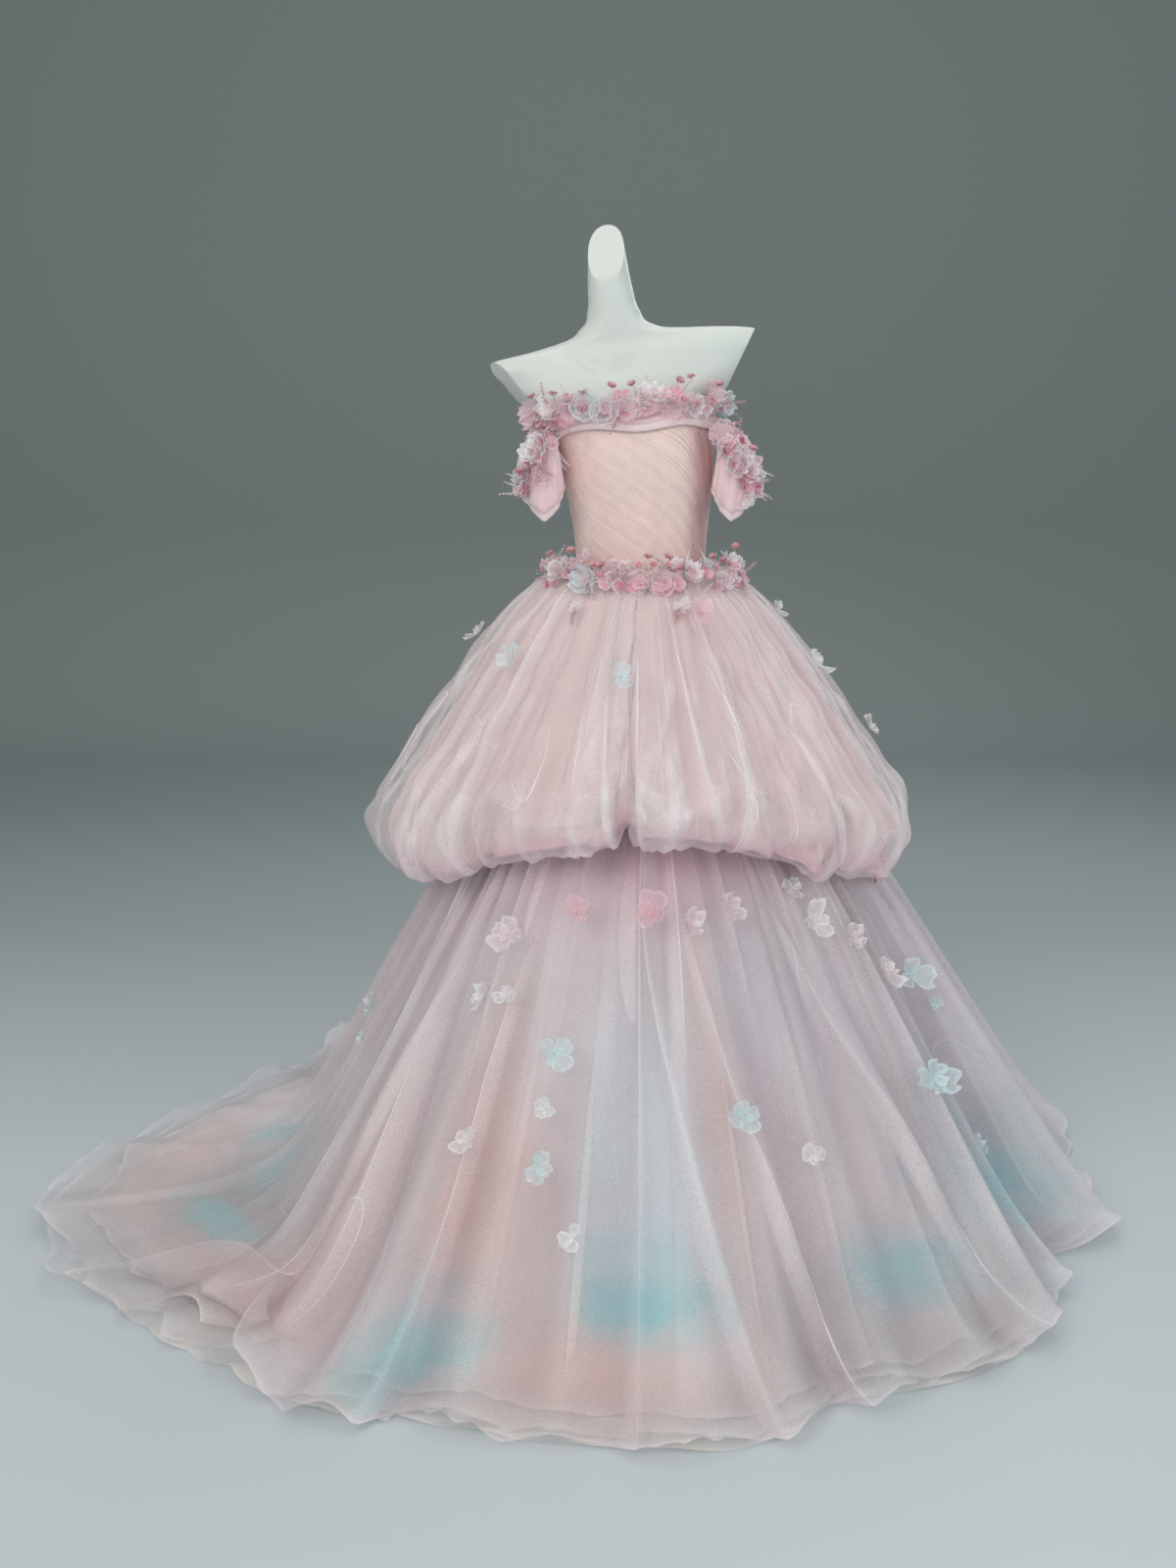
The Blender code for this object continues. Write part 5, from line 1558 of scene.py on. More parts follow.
# How the hem swings, as shares of its reach: in slow uneven waves, out on each crease, and flared in all.
HEM_SWING = 0.026
HEM_FOLDED_OUT = 0.022
HEM_DRAWN_IN = 0.008
HEM_FLARE = 0.012
RUFFLE = 0.006
LOWEST = 0.0008
UNDER_PUFF_TUCK = 0.022


def train_side(angles):
    """1 where the layers run out over the ivory one beside the train."""
    return smooth_ramp(angles, 200.0, 214.0) * (1 - smooth_ramp(angles, 236.0, 252.0))


def hem_wave(layer, angles, shares, lift):
    """How far the hem swings out and in, as a share of its reach."""
    corners = np.abs(drift(angles, 0.0, layer.seed + 2, 6.0)) ** 0.6 * drift(angles, 0.0, layer.seed + 9, 3.0)
    folded = np.clip(lift / layer.depth, 0, 1.2)
    wave = (HEM_SWING * corners + HEM_FOLDED_OUT * folded - HEM_DRAWN_IN) * smooth_ramp(shares, 0.86, 1.0)
    corner = 1 - 2 * np.abs((angles / HEM_POINT_STEP + layer.seed / 7.0) % 1.0 - 0.5)
    past = PAST_TRAIN[layer.name] + HEM_POINT_REACH * corner**1.6
    wave = wave + past * train_side(angles) * smooth_ramp(shares, 0.72, 1.0)
    wave = wave + HEM_FLARE * smooth_ramp(shares, 0.8, 1.0)
    return wave + (layer.hem - 1.0) * smooth_ramp(shares, 0.5, 1.0)


def under_layer(layer):
    """A layer of the underskirt: two clear nets over the dyed ground."""
    outer = layer.inset == 0
    dense = layer.density > 0.9
    angles, shares, form = layer_grid(layer, SKIRT_FORM)
    out = normals_of(form, True)
    creases = crease_fan(layer.seed, layer.creases, layer.depth, layer.width, layer.start, stray=7.0)
    creases += UNDER_CREASES if outer else []
    lift, doubled = pressed(creases, angles, shares)
    inset = layer.inset * smooth_ramp(shares, 0.1, 0.7) * (1 - smooth_ramp(shares, 0.9, 1.0) * 0.8)
    under_puff = UNDER_PUFF_TUCK * np.exp(-(((shares - 0.27) / 0.12) ** 2))
    near_floor = smooth_ramp(form[..., 2], 0.004, 0.05)
    lift_there = (lift - 0.55 * layer.depth * smooth_ramp(shares, 0.1, 0.4)) * near_floor
    points = form + out * (lift_there - inset * near_floor - under_puff)[..., None]
    points[..., :2] *= (1 + hem_wave(layer, angles, shares, lift))[..., None]
    ruffle = RUFFLE * np.abs(drift(angles, shares, layer.seed + 5, 9.0)) - 0.1 * layer.inset
    points[..., 2] = np.maximum(points[..., 2] + ruffle * smooth_ramp(shares, 0.9, 1.0), LOWEST)
    if outer:
        hem_flip(points, angles)
    steep = flank(points, lift)
    loops = UNDER_LOOPS if outer else []
    doubled = np.maximum(doubled, crumpled(loops, angles, shares)[1])
    gathers = UNDER_LOOK.gathers * (1 - smooth_ramp(shares, 0.25, 0.5))
    gathers = gathers + UNDER_LOOK.hem * smooth_ramp(shares, 0.992, 1.0)
    density = layer.density + gathers + layer.lines * (UNDER_LOOK.flank_cover * steep + doubled)
    hollow, proud = hollows(points)
    if dense:
        density = density - HEM_THINNED * smooth_ramp(shares, 0.93, 1.0)
    else:
        panels = lapped(creases, angles, shares, UNDER_LOOK.panels, layer.seed)
        density = density + UNDER_LOOK.lapped * panels + PROUD_COVER * proud
    patches = SKIRT_PATCHES
    if not dense:
        patches = [patch._replace(strength=NET_DYE_AND_SHADE * patch.strength) for patch in SKIRT_PATCHES]
    tint = dyed_and_shaded(OVER_MILK if dense else MIST, patches, angles, shares, layer.seed)
    in_front = 0.25 + 0.75 * np.exp(-((turn_between(angles, 276.0) / 38.0) ** 2))
    tint = rose_rim(tint, shares, 0.36, 0.07, 0.40 * in_front)
    # Painted shade on the flanks of the creases and between the folds, and a painted highlight where the
    # cloth stands proud.
    deep = UNDER_LOOK.flank_shade * steep + UNDER_LOOK.hollow_shade * hollow * smooth_ramp(shares, 0.2, 0.5)
    deep = deep - PROUD_PAINTED_HIGHLIGHT * proud
    tint = tint * (1 - deep[..., None] * np.array(FOLD_SHADE))
    made = grid_object(layer.name, points, SHEER, tint, density, closed=True)
    return made, points, edge_paths(creases, loops)


OVER_NODES = ["overskirt_" + name for name in ("front", "left", "right", "back_left", "back_right")]
UNDER_NODES = [
    "skirt_" + name
    for name in ("front", "front_left", "front_right", "side_right", "back_right", "back_left", "train")
]
CLEAR_EDGE = 0.27


def hang(layer, builder, slot, nodes, length, line_tint):
    piece, shape, paths = builder(layer)
    put_up(piece, slot, *nodes)
    if layer.density < 0.9:
        clear_paths = [path for path in paths if path[2].max() > CLEAR_EDGE]
        lines = edge_lines(layer.name + "_edges", shape, clear_paths, line_tint)
        put_up(lines, slot, *nodes)
    flat = (round(area_of(shape) / length * 1.02, 2), length)
    return shape


UNDER_SHAPES = [
    hang(each, under_layer, "underskirt_tulle", UNDER_NODES, 1.35, (0.92, 0.89, 0.91))
    for each in UNDER_LAYERS
]
OVER_SHAPES = [
    hang(each, over_layer, "overskirt_tulle", OVER_NODES, 0.75, (0.98, 0.92, 0.92))
    for each in OVER_LAYERS
]

# ---------------------------------------------------------------- ivory hem

# A visible stretch of the ivory under layer: the angles that it spans, and how far it runs out past the hem.
IvoryStrip = namedtuple("IvoryStrip", "name start end past_hem")
IVORY_STRIPS = table(
    IvoryStrip,
    ("ivory_hem_train", 205.0, 246.5, 0.030),
    ("ivory_hem_front", 247.0, 322.0, 0.002),
)
IVORY_TUCK = 0.060
IVORY_ROWS = 12
IVORY_COLUMNS_A_DEGREE = 8
IVORY_RUFFLE = 0.0045


def wave_of(count, angle):
    """A sine with this many waves in a full turn."""
    return math.sin(math.radians(count * angle))


def build_ivory(strip):
    """The visible edge of the ivory under layer, which lies on the floor past the hem."""
    angles = np.linspace(strip.start, strip.end, round((strip.end - strip.start) * IVORY_COLUMNS_A_DEGREE))
    middle = (strip.start + strip.end) / 2
    half = (strip.end - strip.start) / 2
    points = np.zeros((IVORY_ROWS, len(angles), 3))
    for j, angle in enumerate(angles):
        wave = 0.30 * wave_of(17, angle) + 0.38 * abs(wave_of(33, angle)) - 0.2
        share = 1 - abs(turn_between(angle, middle)) / (half + 4)
        out = strip.past_hem * (0.5 + 0.8 * share + wave * share)
        reach = hem_row(float(angle))[0]
        for i, at in enumerate(np.linspace(-IVORY_TUCK, out, IVORY_ROWS)):
            lively = 1 + math.sin(math.radians(41 * angle) + 0.7 * i) * (0.6 + 0.4 * wave_of(13, angle))
            height = LOWEST + IVORY_RUFFLE * lively * (i / IVORY_ROWS) ** 1.5
            points[i, j] = direction(angle) * (reach + at) + np.array((0.0, 0.0, height))
    rim = shares_down(IVORY_ROWS) ** 6
    density = 0.34 + 0.22 * rim + 0.12 * np.sin(np.radians(41 * angles))[None]
    made = grid_object(strip.name + "_frill", points, SHEER, IVORY, density)
    put_up(made, "ivory_tulle", strip.name)
    depth = IVORY_TUCK + strip.past_hem
    flat = (round(area_of(points, False) / depth, 3), round(depth, 3))


for each in IVORY_STRIPS:
    build_ivory(each)

# ---------------------------------------------------------------- flowers


class Pile:
    """What gathers in one joined mesh: points, faces, and each point's tint and density."""

    def __init__(self):
        self.points, self.faces, self.tints, self.densities, self.slots = [], [], [], [], []
        self.count = 0

    def add(self, points, faces, tint, density, slot, placed):
        points = np.asarray(points, float)
        matrix = np.array(placed)
        self.points.append(points @ matrix[:3, :3].T + matrix[:3, 3])
        self.faces += [[corner + self.count for corner in face] for face in faces]
        self.tints.append(np.broadcast_to(tint, points.shape))
        self.densities.append(np.broadcast_to(density, len(points)))
        self.slots += [slot] * len(faces)
        self.count += len(points)

    def finished(self, name):
        made = mesh_object(name, np.concatenate(self.points).tolist(), self.faces, PETAL)
        made.data.materials.append(STEM)
        made.data.polygons.foreach_set("material_index", self.slots)
        put_attributes(made.data, np.concatenate(self.tints), np.concatenate(self.densities))
        return made


CLEAR = (1.0, 0.93, 0.94)
SNOW = (1.0, 1.0, 1.0)
PALE_AQUA = (0.80, 0.94, 0.95)
DEEP_AQUA = (0.60, 0.88, 0.90)
SOFT_ROSE = (0.96, 0.66, 0.72)
HOT_ROSE = (0.92, 0.40, 0.52)
DUST_ROSE = (0.62, 0.27, 0.28)
STEM_MAUVE = (0.78, 0.50, 0.54)
OLIVE_GOLD = (0.62, 0.52, 0.28)
FEATHER = (1.0, 0.86, 0.88)
BLUSH_PETAL = (0.98, 0.76, 0.81)
PEARL = (0.93, 0.84, 0.78)

DUSTY_PETAL = (0.80, 0.47, 0.50)
DEEP_PETAL = (0.92, 0.50, 0.61)

# The points of a petal's grid, from foot to rim and from side to side.
ROUNDS, ACROSS = 6, 7
PETAL_FACES = grid_faces(ROUNDS, ACROSS, False).tolist()
DOWN_PETAL = np.repeat(np.linspace(0, 1, ROUNDS), ACROSS)
OVER_PETAL = np.tile(np.linspace(-1, 1, ACROSS), ROUNDS)


def petal_grid(length, width, cup, ruffle, phase):
    """One petal, from its narrow foot to its ruffled rim, lying along +X and facing +Z."""
    rows = []
    for i in range(ROUNDS):
        t = i / (ROUNDS - 1)
        wide = width * (0.16 + 0.84 * math.sin(0.5 * math.pi * min(1.0, 1.25 * t)) * (1 - 0.28 * t**6))
        row = []
        for j in range(ACROSS):
            s = 2 * j / (ACROSS - 1) - 1
            rim = 1 - 0.16 * s * s - 0.07 * math.exp(-((s / 0.2) ** 2))
            x = length * t * (rim if t > 0 else 1)
            z = cup * length * (t**1.6) + 0.30 * width * s * s * t
            z += ruffle * t**3 * math.sin(5.0 * s + phase) * width
            row.append((x, wide * s, z))
        rows.append(row)
    return np.array(rows)


def add_flower(pile, placed, radius, petals, heart, rim, density, cup, ruffle, draw, rounds=1):
    """A flower with one or more rounds of petals, each smaller and steeper than the one outside it."""
    edge = np.maximum(DOWN_PETAL**8, np.abs(OVER_PETAL) ** 10)
    tint = mixed(heart, rim, DOWN_PETAL**0.8)
    thick = density + (1 - density) * np.maximum(0.75 * edge, 0.5 * (1 - DOWN_PETAL) ** 2)
    for layer in range(rounds):
        lifted = placed @ Matrix.Translation((0, 0, 0.0012 * layer))
        for k in range(petals):
            turn = 2 * math.pi * (k + 0.5 * layer + draw.uniform(-0.12, 0.12)) / petals
            size = radius * (1 - 0.28 * layer) * draw.uniform(0.86, 1.1)
            steep = cup + 0.35 * layer + draw.uniform(-0.1, 0.15)
            shape = petal_grid(size, size * 0.62, steep, ruffle, draw.uniform(0, 6))
            tip = Matrix.Rotation(draw.uniform(-0.15, 0.15), 4, "X")
            there = lifted @ Matrix.Rotation(turn, 4, "Z") @ tip
            pile.add(shape.reshape(-1, 3), PETAL_FACES, tint, thick, 0, there)


def add_bloom(pile, placed, radius, heart, rim, draw):
    """A loose single flower: a few long glassy petals, uneven in size and lie, with bright ruffled rims."""
    edge = np.maximum(DOWN_PETAL**7, np.abs(OVER_PETAL) ** 8)
    tint = mixed(heart, rim, 0.35 + 0.65 * DOWN_PETAL)
    count = draw.choice((3, 4, 4))
    for k in range(count + 2):
        inner = k >= count
        turn = 2 * math.pi * (k + draw.uniform(-0.3, 0.3)) / (2 if inner else count)
        size = radius * (0.55 if inner else draw.uniform(0.75, 1.35))
        width = size * draw.uniform(0.45, 0.68)
        steep = draw.uniform(0.15, 0.55) + 0.5 * inner
        shape = petal_grid(size, width, steep, 0.34, draw.uniform(0, 6))
        thick = 0.28 + 0.10 * inner + 0.42 * edge + 0.15 * (1 - DOWN_PETAL) ** 2
        there = placed @ Matrix.Rotation(turn, 4, "Z")
        pile.add(shape.reshape(-1, 3), PETAL_FACES, tint, thick, 0, there)


def ball_shape(sides=8, rings=5):
    """A small closed ball of radius 1, as points and faces."""
    points, faces = [(0.0, 0.0, 1.0)], []
    for i in range(1, rings):
        high = math.pi * i / rings
        for j in range(sides):
            turn = 2 * math.pi * j / sides
            points.append((math.sin(high) * math.cos(turn), math.sin(high) * math.sin(turn), math.cos(high)))
    points.append((0.0, 0.0, -1.0))
    for j in range(sides):
        k = (j + 1) % sides
        faces.append((0, 1 + j, 1 + k))
        for i in range(rings - 2):
            a = 1 + i * sides
            faces.append((a + j, a + sides + j, a + sides + k, a + k))
        last = 1 + (rings - 2) * sides
        faces.append((last + j, len(points) - 1, last + k))
    return np.array(points), faces


BALL, BALL_FACES = ball_shape()


def add_ball(pile, placed, where, radius, tint):
    pile.add(BALL * radius + np.asarray(where), BALL_FACES, tint, 1.0, 1, placed)


def add_wire(pile, placed, path, radii, tint, sides=4):
    """A thin stem along a path, which narrows from the first radius to the second at its tip."""
    path = [Vector(point) for point in path]
    points, faces = [], []
    for i, point in enumerate(path):
        ahead = (path[min(i + 1, len(path) - 1)] - path[max(i - 1, 0)]).normalized()
        side = ahead.orthogonal().normalized()
        other = ahead.cross(side)
        radius = radii[0] + (radii[1] - radii[0]) * i / (len(path) - 1)
        for j in range(sides):
            turn = 2 * math.pi * j / sides
            points.append(point + (side * math.cos(turn) + other * math.sin(turn)) * radius)
    for i in range(len(path) - 1):
        for j in range(sides):
            k = (j + 1) % sides
            faces.append((i * sides + j, i * sides + k, (i + 1) * sides + k, (i + 1) * sides + j))
    faces.append(tuple(reversed(range(sides))))
    faces.append(tuple((len(path) - 1) * sides + j for j in range(sides)))
    pile.add([tuple(point) for point in points], faces, tint, 1.0, 1, placed)


def arc(length, lean, turn, bend, steps=5):
    """A path that leaves the origin upwards, leans towards turn and bends further out."""
    path = []
    x = z = 0.0
    for i in range(steps + 1):
        path.append((x * math.cos(turn), x * math.sin(turn), z))
        tilt = lean + bend * i / steps
        x += length / steps * math.sin(tilt)
        z += length / steps * math.cos(tilt)
    return path


STAMEN_RADII = (0.00025, 0.0002)
POLLEN_RADIUS = 0.0009
STEM_RADII = (0.0008, 0.0004)
NEEDLE_RADII = (0.0006, 0.0003)
BUD_STEM_RADII = (0.0005, 0.0004)
BUD_RADIUS = 0.0080


def add_stamens(pile, placed, count, length, tint, head, draw, lean=0.5):
    """Fine threads with a dot of pollen each."""
    for _ in range(count):
        path = arc(length * draw.uniform(0.7, 1.15), draw.uniform(0.05, lean), draw.uniform(0, 6.28), 0.3, 3)
        add_wire(pile, placed, path, STAMEN_RADII, tint, 3)
        add_ball(pile, placed, path[-1], POLLEN_RADIUS, head)


def add_sprig(pile, placed, length, turn, lean, draw, tint=FEATHER):
    """A feathery sprig: a stem with fine side needles."""
    path = arc(length, lean, turn, 0.55, 7)
    add_wire(pile, placed, path, STEM_RADII, tint, 3)
    for i in range(1, 8):
        start = Vector(path[i])
        ahead = (start - Vector(path[i - 1])).normalized()
        for side in (-1, 1, -0.3, 0.4):
            turned = Matrix.Rotation(side * 1.6 + draw.uniform(-0.3, 0.3), 3, ahead)
            across = ahead.orthogonal().normalized() @ turned
            tip = start + (ahead * 0.75 + across * 0.65) * length * 0.20 * (1.15 - i / 10)
            add_wire(pile, placed, [start, (start + tip) / 2 + ahead * 0.0006, tip], NEEDLE_RADII, tint, 3)


def add_bud(pile, placed, length, turn, lean, draw):
    """A dusty rosebud head on a thin wired stem."""
    path = arc(length, lean, turn, 0.2, 4)
    add_wire(pile, placed, path, BUD_STEM_RADII, STEM_MAUVE)
    hinge = Vector((-math.sin(turn), math.cos(turn), 0))
    top = Matrix.Translation(Vector(path[-1])) @ Matrix.Rotation(draw.uniform(0.1, 0.9), 4, hinge)
    add_flower(pile, placed @ top, BUD_RADIUS, 5, DUST_ROSE, DUSTY_PETAL, 0.95, 0.35, 0.3, draw, rounds=2)
    add_ball(pile, placed @ top, (0, 0, 0.001), 0.0026, DUST_ROSE)


def facing_matrix(point, out, turn=0.0):
    """Puts a flower at the point, with its own +Z along out."""
    aim = Vector(out).to_track_quat("Z", "Y").to_matrix().to_4x4()
    return Matrix.Translation(Vector(point)) @ aim @ Matrix.Rotation(turn, 4, "Z")


def garland_spots(path, count, spread, seed, rise=0.0):
    """Places along a garland, scattered across it."""
    draw = random.Random(seed)
    spots = []
    for i in range(count):
        t = min(max((i + draw.uniform(0.1, 0.9)) / count, 0.0), 1.0)
        middle, out = path(t)
        ahead = unit(path(min(t + 0.01, 1.0))[0] - path(max(t - 0.01, 0.0))[0])
        up = np.cross(ahead, out)
        if up[2] < 0:
            up = -up
        side = draw.uniform(-1, 1)
        place = middle + up * spread * (side + rise) - out * spread * 0.55 * side * side
        spots.append((place, unit(out + 0.7 * up * side + 0.25 * ahead * draw.uniform(-1, 1)), draw))
    return spots


WAIST_GARLAND_OFF = 0.014
NECK_GARLAND_OFF = 0.022
SLEEVE_GARLAND_OFF = 0.006
SLEEVE_GARLAND_ANGLES = (246.0, 196.0)


def between(ends, t):
    return ends[0] + (ends[1] - ends[0]) * t


def waist_path(t):
    angle = between(WAIST_GARLAND_ANGLES, t)
    out = unit(direction(angle) + np.array((0.0, 0.0, 0.75)))
    on_cloth = puff_point(angle, WAIST_GARLAND_AT + WAIST_GARLAND_DIP * bump(t - 0.55, 0.45))
    return on_cloth + out * WAIST_GARLAND_OFF, out


def neck_path(t):
    angle = between(NECK_GARLAND_ANGLES, t)
    level = NECK_GARLAND_LEVEL + BAND_WAVE * math.sin(9 * t)
    out = form_normal(angle, level)
    return form_point(angle, level) + out * NECK_GARLAND_OFF, out


def sleeve_path(side):
    def path(t):
        on_cloth = sleeve_point(side, between(SLEEVE_GARLAND_ANGLES, t), 0.02 + 0.80 * t)
        out = unit(np.array((-side * 0.62, -0.75, 0.22)))
        return on_cloth + out * SLEEVE_GARLAND_OFF, out

    return path


# A garland: its solid, its path, how broad it is, how many of each flower it has, and its seed.
GarlandLook = namedtuple("GarlandLook", "node path spread clear rose small stamens sprigs buds seed")
GARLANDS = table(
    GarlandLook,
    ("garland_waist", waist_path, 0.019, 18, 20, 20, 14, 44, 10, 5),
    ("garland_neckline", neck_path, 0.013, 14, 12, 10, 12, 36, 8, 6),
    ("garland_sleeve_left", sleeve_path(1), 0.019, 6, 8, 8, 7, 24, 2, 7),
    ("garland_sleeve_right", sleeve_path(-1), 0.019, 6, 8, 8, 7, 24, 2, 8),
)


def build_garland(look):
    """Clear flowers first, then rosettes, dark little ones, stamens, sprigs and buds between them."""
    pile = Pile()

    def spots(count, seed_step, wider=1.0, rise=0.0):
        places = garland_spots(look.path, count, look.spread * wider, look.seed + seed_step, rise)
        return [(k, *place) for k, place in enumerate(places)]

    for k, point, out, draw in spots(look.clear, 0):
        rim = PALE_AQUA if k % 9 == 4 else (BLUSH_PETAL, CLEAR, SNOW)[k % 3]
        heart = SOFT_ROSE if k % 3 else rim
        placed = facing_matrix(point, out, draw.uniform(0, 6))
        add_flower(pile, placed, draw.uniform(0.017, 0.026), 5, heart, rim, 0.36, 0.42, 0.30, draw, 2)
        add_stamens(pile, placed, 5, 0.010, PEARL, PEARL, draw)
    for k, point, out, draw in spots(look.rose, 20):
        placed = facing_matrix(point + out * 0.004, out, draw.uniform(0, 6))
        rim = (SOFT_ROSE, BLUSH_PETAL, DEEP_PETAL)[k % 3]
        add_flower(pile, placed, draw.uniform(0.011, 0.016), 5, HOT_ROSE, rim, 0.8, 0.30, 0.18, draw)
        add_ball(pile, placed, (0, 0, 0.0015), 0.0016, PEARL)
    for k, point, out, draw in spots(look.small, 40, 1.2):
        placed = facing_matrix(point + out * 0.006, out, draw.uniform(0, 6))
        add_flower(pile, placed, 0.006, 5, DUST_ROSE, HOT_ROSE, 0.95, 0.7, 0.1, draw)
    for k, point, out, draw in spots(look.stamens, 60):
        tint = OLIVE_GOLD if k % 4 == 2 else STEM_MAUVE
        head = DUST_ROSE if k % 2 else PEARL
        add_stamens(pile, facing_matrix(point, out), 7, 0.018, tint, head, draw, 1.1)
    for k, point, out, draw in spots(look.sprigs, 80):
        tint = (FEATHER, CLEAR, STEM_MAUVE)[draw.randrange(3)]
        length, turn = draw.uniform(0.028, 0.048), draw.uniform(0, 6.28)
        add_sprig(pile, facing_matrix(point, out), length, turn, 1.0, draw, tint)
    for k, point, out, draw in spots(look.buds, 90, 0.6, 0.4):
        up = Matrix.Translation(Vector(point))
        add_bud(pile, up, draw.uniform(0.016, 0.034), draw.uniform(3.6, 5.8), draw.uniform(0.1, 0.6), draw)
    put_up(pile.finished(look.node + "_flowers"), "rose_petals", look.node)


for each in GARLANDS:
    build_garland(each)

# The colours of a single flower's petals, and its slot.
Petals = namedtuple("Petals", "heart rim slot")
WHITE = Petals(CLEAR, SNOW, "pale_petals")
PURE = Petals(SNOW, SNOW, "pale_petals")
PINK = Petals(SOFT_ROSE, CLEAR, "pale_petals")
RED = Petals(HOT_ROSE, SOFT_ROSE, "rose_petals")
FROSTED = Petals(PALE_AQUA, SNOW, "pale_petals")
WATERY = Petals(PALE_AQUA, PALE_AQUA, "aqua_petals")
AQUAMARINE = Petals(DEEP_AQUA, PALE_AQUA, "aqua_petals")

# Single flowers: where each sits on its skirt, as an angle and the share of the way down.
Blossom = namedtuple("Blossom", "angle at radius petals")
OVER_BLOSSOMS = table(
    Blossom,
    (184.0, 0.31, 0.019, WHITE),
    (224.0, 0.37, 0.021, WATERY),
    (262.0, 0.43, 0.017, AQUAMARINE),
    (294.0, 0.25, 0.021, RED),
    (334.0, 0.37, 0.022, FROSTED),
    (350.0, 0.55, 0.019, WHITE),
    (44.0, 0.40, 0.022, PINK),
    (118.0, 0.42, 0.022, WATERY),
)
UNDER_BLOSSOMS = table(
    Blossom,
    (202.0, 0.40, 0.024, AQUAMARINE),
    (243.0, 0.46, 0.022, PINK),
    (256.0, 0.44, 0.021, RED),
    (272.0, 0.44, 0.024, RED),
    (288.0, 0.44, 0.020, PINK),
    (306.0, 0.47, 0.022, WHITE),
    (316.0, 0.55, 0.024, PINK),
    (332.0, 0.58, 0.022, AQUAMARINE),
    (256.0, 0.60, 0.021, AQUAMARINE),
    (284.0, 0.67, 0.022, AQUAMARINE),
    (256.0, 0.72, 0.025, AQUAMARINE),
    (315.0, 0.68, 0.030, AQUAMARINE),
    (40.0, 0.62, 0.024, PINK),
    (96.0, 0.68, 0.024, WHITE),
    (127.0, 0.56, 0.024, AQUAMARINE),
)


def build_blossom(node, surface, blossom):
    """A single flower in the middle of its solid, facing out of the cloth."""
    draw = random.Random(node)
    out = normal_of(surface, blossom.angle, blossom.at, 1.5, 0.02)
    if np.dot(out, direction(blossom.angle)) < 0:
        out = -out
    low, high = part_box(node)
    pile = Pile()
    placed = facing_matrix(np.array((low + high) / 2), out, draw.uniform(0, 6))
    add_bloom(pile, placed, blossom.radius * 1.15, blossom.petals.heart, blossom.petals.rim, draw)
    add_stamens(pile, placed, 6, 0.011, PEARL, PEARL, draw)
    put_up(pile.finished(node + "_petals"), blossom.petals.slot, node)


for count, each in enumerate(OVER_BLOSSOMS, 1):
    build_blossom(f"blossom_over_{count}", puff_point, each)
for count, each in enumerate(UNDER_BLOSSOMS, 1):
    build_blossom(f"blossom_under_{count}", skirt_point, each)

# More single flowers lie on the tulle between those that have solids of their own.
Extra = namedtuple("Extra", "angle at radius petals sprig", defaults=(False,))
OVER_EXTRAS = table(
    Extra,
    (238.0, 0.25, 0.016, WHITE, True),
    (348.0, 0.21, 0.015, WHITE),
    (288.0, 0.24, 0.014, WHITE, True),
    (268.5, 0.12, 0.013, RED, True),
    (60.0, 0.30, 0.017, WHITE),
    (150.0, 0.35, 0.017, FROSTED),
)
UNDER_EXTRAS = table(
    Extra,
    (280.0, 0.45, 0.020, PINK),
    (202.0, 0.43, 0.014, AQUAMARINE),
    (242.0, 0.53, 0.019, WHITE),
    (246.0, 0.53, 0.016, PURE),
    (246.0, 0.69, 0.019, WHITE),
    (256.0, 0.655, 0.016, FROSTED),
    (294.0, 0.73, 0.018, WHITE),
    (262.0, 0.79, 0.016, PURE),
    (326.0, 0.81, 0.018, AQUAMARINE),
    (334.0, 0.62, 0.013, AQUAMARINE),
    (314.0, 0.50, 0.020, PINK),
    (306.0, 0.42, 0.020, WHITE),
    (64.0, 0.55, 0.018, WHITE),
    (20.0, 0.70, 0.018, FROSTED),
    (112.0, 0.48, 0.018, PINK),
    (148.0, 0.66, 0.018, WHITE),
)


def build_extras(name, extras, shape):
    """The flowers without solids, as one joined piece that lies on the outer net."""
    pile = Pile()
    out = normals_of(shape, True)
    for extra in extras:
        draw = random.Random(f"{extra.angle} {extra.at}")
        place = on_grid(shape, [extra.angle], np.array([extra.at]))[0]
        facing = on_grid(out, [extra.angle], np.array([extra.at]))[0]
        placed = facing_matrix(place + facing * 0.004, facing, draw.uniform(0, 6))
        add_bloom(pile, placed, extra.radius, extra.petals.heart, extra.petals.rim, draw)
        add_stamens(pile, placed, 4, 0.008, PEARL, PEARL, draw)
        if extra.sprig:
            down = facing_matrix(place + facing * 0.006, facing + np.array((0.0, 0.0, -0.8)))
            for lean in (0.5, 0.9, 1.2):
                add_sprig(pile, down, 0.030, draw.uniform(4.0, 5.4), lean, draw, STEM_MAUVE)
    put_up(pile.finished(name), "pale_petals")


build_extras("over_extra_flowers", OVER_EXTRAS, OVER_SHAPES[0])
build_extras("under_extra_flowers", UNDER_EXTRAS, UNDER_SHAPES[0])

# ---------------------------------------------------------------- stage, light and camera

WALL_START = 3.3
COVE = 0.9
WALL_TOP = 7.0
STAGE_HALF_WIDTH = 9.0
FLOOR_NEAR = -7.0
# The paper's colour with painted light falloff, from near the camera, at 0, to the wall, at 1: pale near,
# grey at the wall.
SHADE_STARTS = -2.5
Tone = namedtuple("Tone", "place rgb")
FALLOFF_TONES = table(
    Tone,
    (0.0, (0.74, 0.79, 0.81)),
    (0.36, (0.60, 0.65, 0.67)),
    (0.56, (0.39, 0.43, 0.44)),
    (0.74, (0.305, 0.345, 0.35)),
    (1.0, (0.285, 0.32, 0.31)),
)


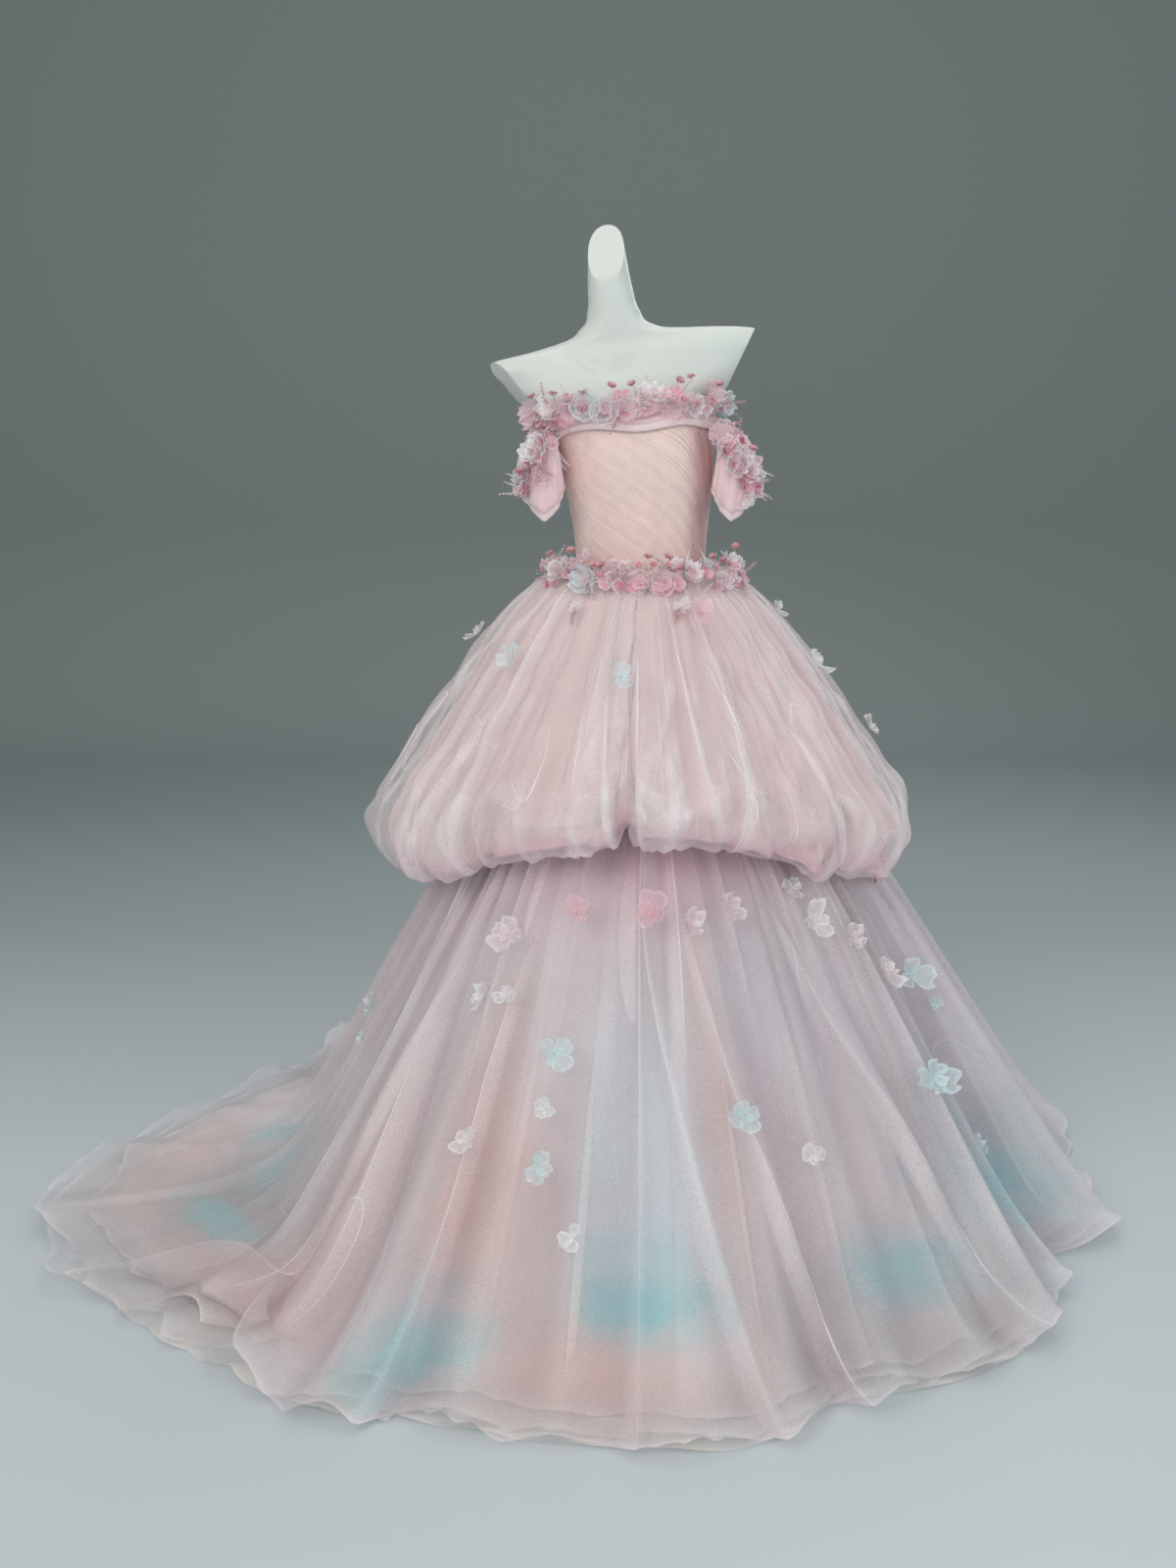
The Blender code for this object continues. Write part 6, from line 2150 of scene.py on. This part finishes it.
def build_paper():
    """The studio paper, with painted light falloff: pale where it is near and grey towards the wall."""
    material, tree, shader = new_material("studio_paper", 0.75, 0.0, 0.15)
    position = tree.nodes.new("ShaderNodeNewGeometry")
    parts = tree.nodes.new("ShaderNodeSeparateXYZ")
    tree.links.new(position.outputs["Position"], parts.inputs[0])
    far = tree.nodes.new("ShaderNodeMapRange")
    set_inputs(far, {"From Min": SHADE_STARTS, "From Max": WALL_START + COVE})
    tree.links.new(parts.outputs["Y"], far.inputs["Value"])
    falloff_tones = tree.nodes.new("ShaderNodeValToRGB")
    while len(falloff_tones.color_ramp.elements) < len(FALLOFF_TONES):
        falloff_tones.color_ramp.elements.new(0.5)
    for element, tone in zip(falloff_tones.color_ramp.elements, FALLOFF_TONES):
        element.position = tone.place
        element.color = (*tone.rgb, 1.0)
    tree.links.new(far.outputs["Result"], falloff_tones.inputs["Fac"])
    tree.links.new(falloff_tones.outputs["Color"], shader.inputs["Base Color"])
    return material


def build_stage():
    """A floor that curves up into a wall, on paper whose painted light falloff makes it pale near and grey at
    the wall.
    """
    profile = [(y, 0.0) for y in np.linspace(FLOOR_NEAR, WALL_START, 24)]
    for k in range(1, 17):
        turn = math.radians(90 * k / 16)
        profile.append((WALL_START + COVE * math.sin(turn), COVE * (1 - math.cos(turn))))
    profile.append((WALL_START + COVE, WALL_TOP))
    points = [(x, y, z) for y, z in profile for x in (-STAGE_HALF_WIDTH, STAGE_HALF_WIDTH)]
    faces = [(2 * i, 2 * i + 1, 2 * i + 3, 2 * i + 2) for i in range(len(profile) - 1)]
    mesh_object("studio_floor", points, faces, build_paper())


build_stage()

# A square softbox: where it stands, what it aims at, its side, its power and its colour.
AreaLight = namedtuple("AreaLight", "name place aim size power rgb")
LIGHTS = table(
    AreaLight,
    ("low_softbox", (0.4, -3.7, 0.95), (0.0, 0.0, 0.75), 1.8, 15.0, (1.0, 0.97, 0.97)),
    ("rim_softbox", (1.2, 2.8, 2.7), (0.0, 0.0, 0.8), 1.8, 22.0, (0.96, 0.98, 1.0)),
    ("key_softbox", (-2.2, -3.2, 3.4), (0.0, 0.0, 0.8), 2.4, 57.0, (1.0, 0.98, 0.95)),
    ("fill_softbox", (3.0, -2.4, 2.4), (0.0, 0.0, 0.7), 2.4, 26.0, (0.94, 0.97, 1.0)),
    ("top_softbox", (0.0, 0.4, 4.3), (0.0, 0.0, 0.0), 3.0, 34.0, (1.0, 1.0, 1.0)),
)


def build_light(light):
    lamp = bpy.data.lights.new(light.name, "AREA")
    lamp.size = light.size
    lamp.energy = light.power
    lamp.color = light.rgb
    made = bpy.data.objects.new(light.name, lamp)
    made.location = light.place
    made.rotation_euler = (Vector(light.aim) - Vector(light.place)).to_track_quat("-Z", "Y").to_euler()
    bpy.context.scene.collection.objects.link(made)


for each in LIGHTS:
    build_light(each)

world = bpy.data.worlds.new("studio_air")
world.use_nodes = True
set_inputs(world.node_tree.nodes["Background"], {"Color": (0.80, 0.86, 0.88, 1.0), "Strength": 0.42})
bpy.context.scene.world = world
bpy.context.scene.view_settings.view_transform = "Standard"
bpy.context.scene.cycles.transparent_max_bounces = 32

CAMERA_PLACE = (-0.07, -2.5, 1.30)
CAMERA_PITCH = 76.44
FOCAL_LENGTH = 33.75
lens = bpy.data.cameras.new("camera")
lens.sensor_fit = "VERTICAL"
lens.sensor_height = 36.0
lens.lens = FOCAL_LENGTH
lens.clip_end = 60.0
camera = bpy.data.objects.new("camera", lens)
camera.location = CAMERA_PLACE
camera.rotation_euler = (math.radians(CAMERA_PITCH), 0.0, 0.0)
bpy.context.scene.collection.objects.link(camera)
bpy.context.scene.camera = camera
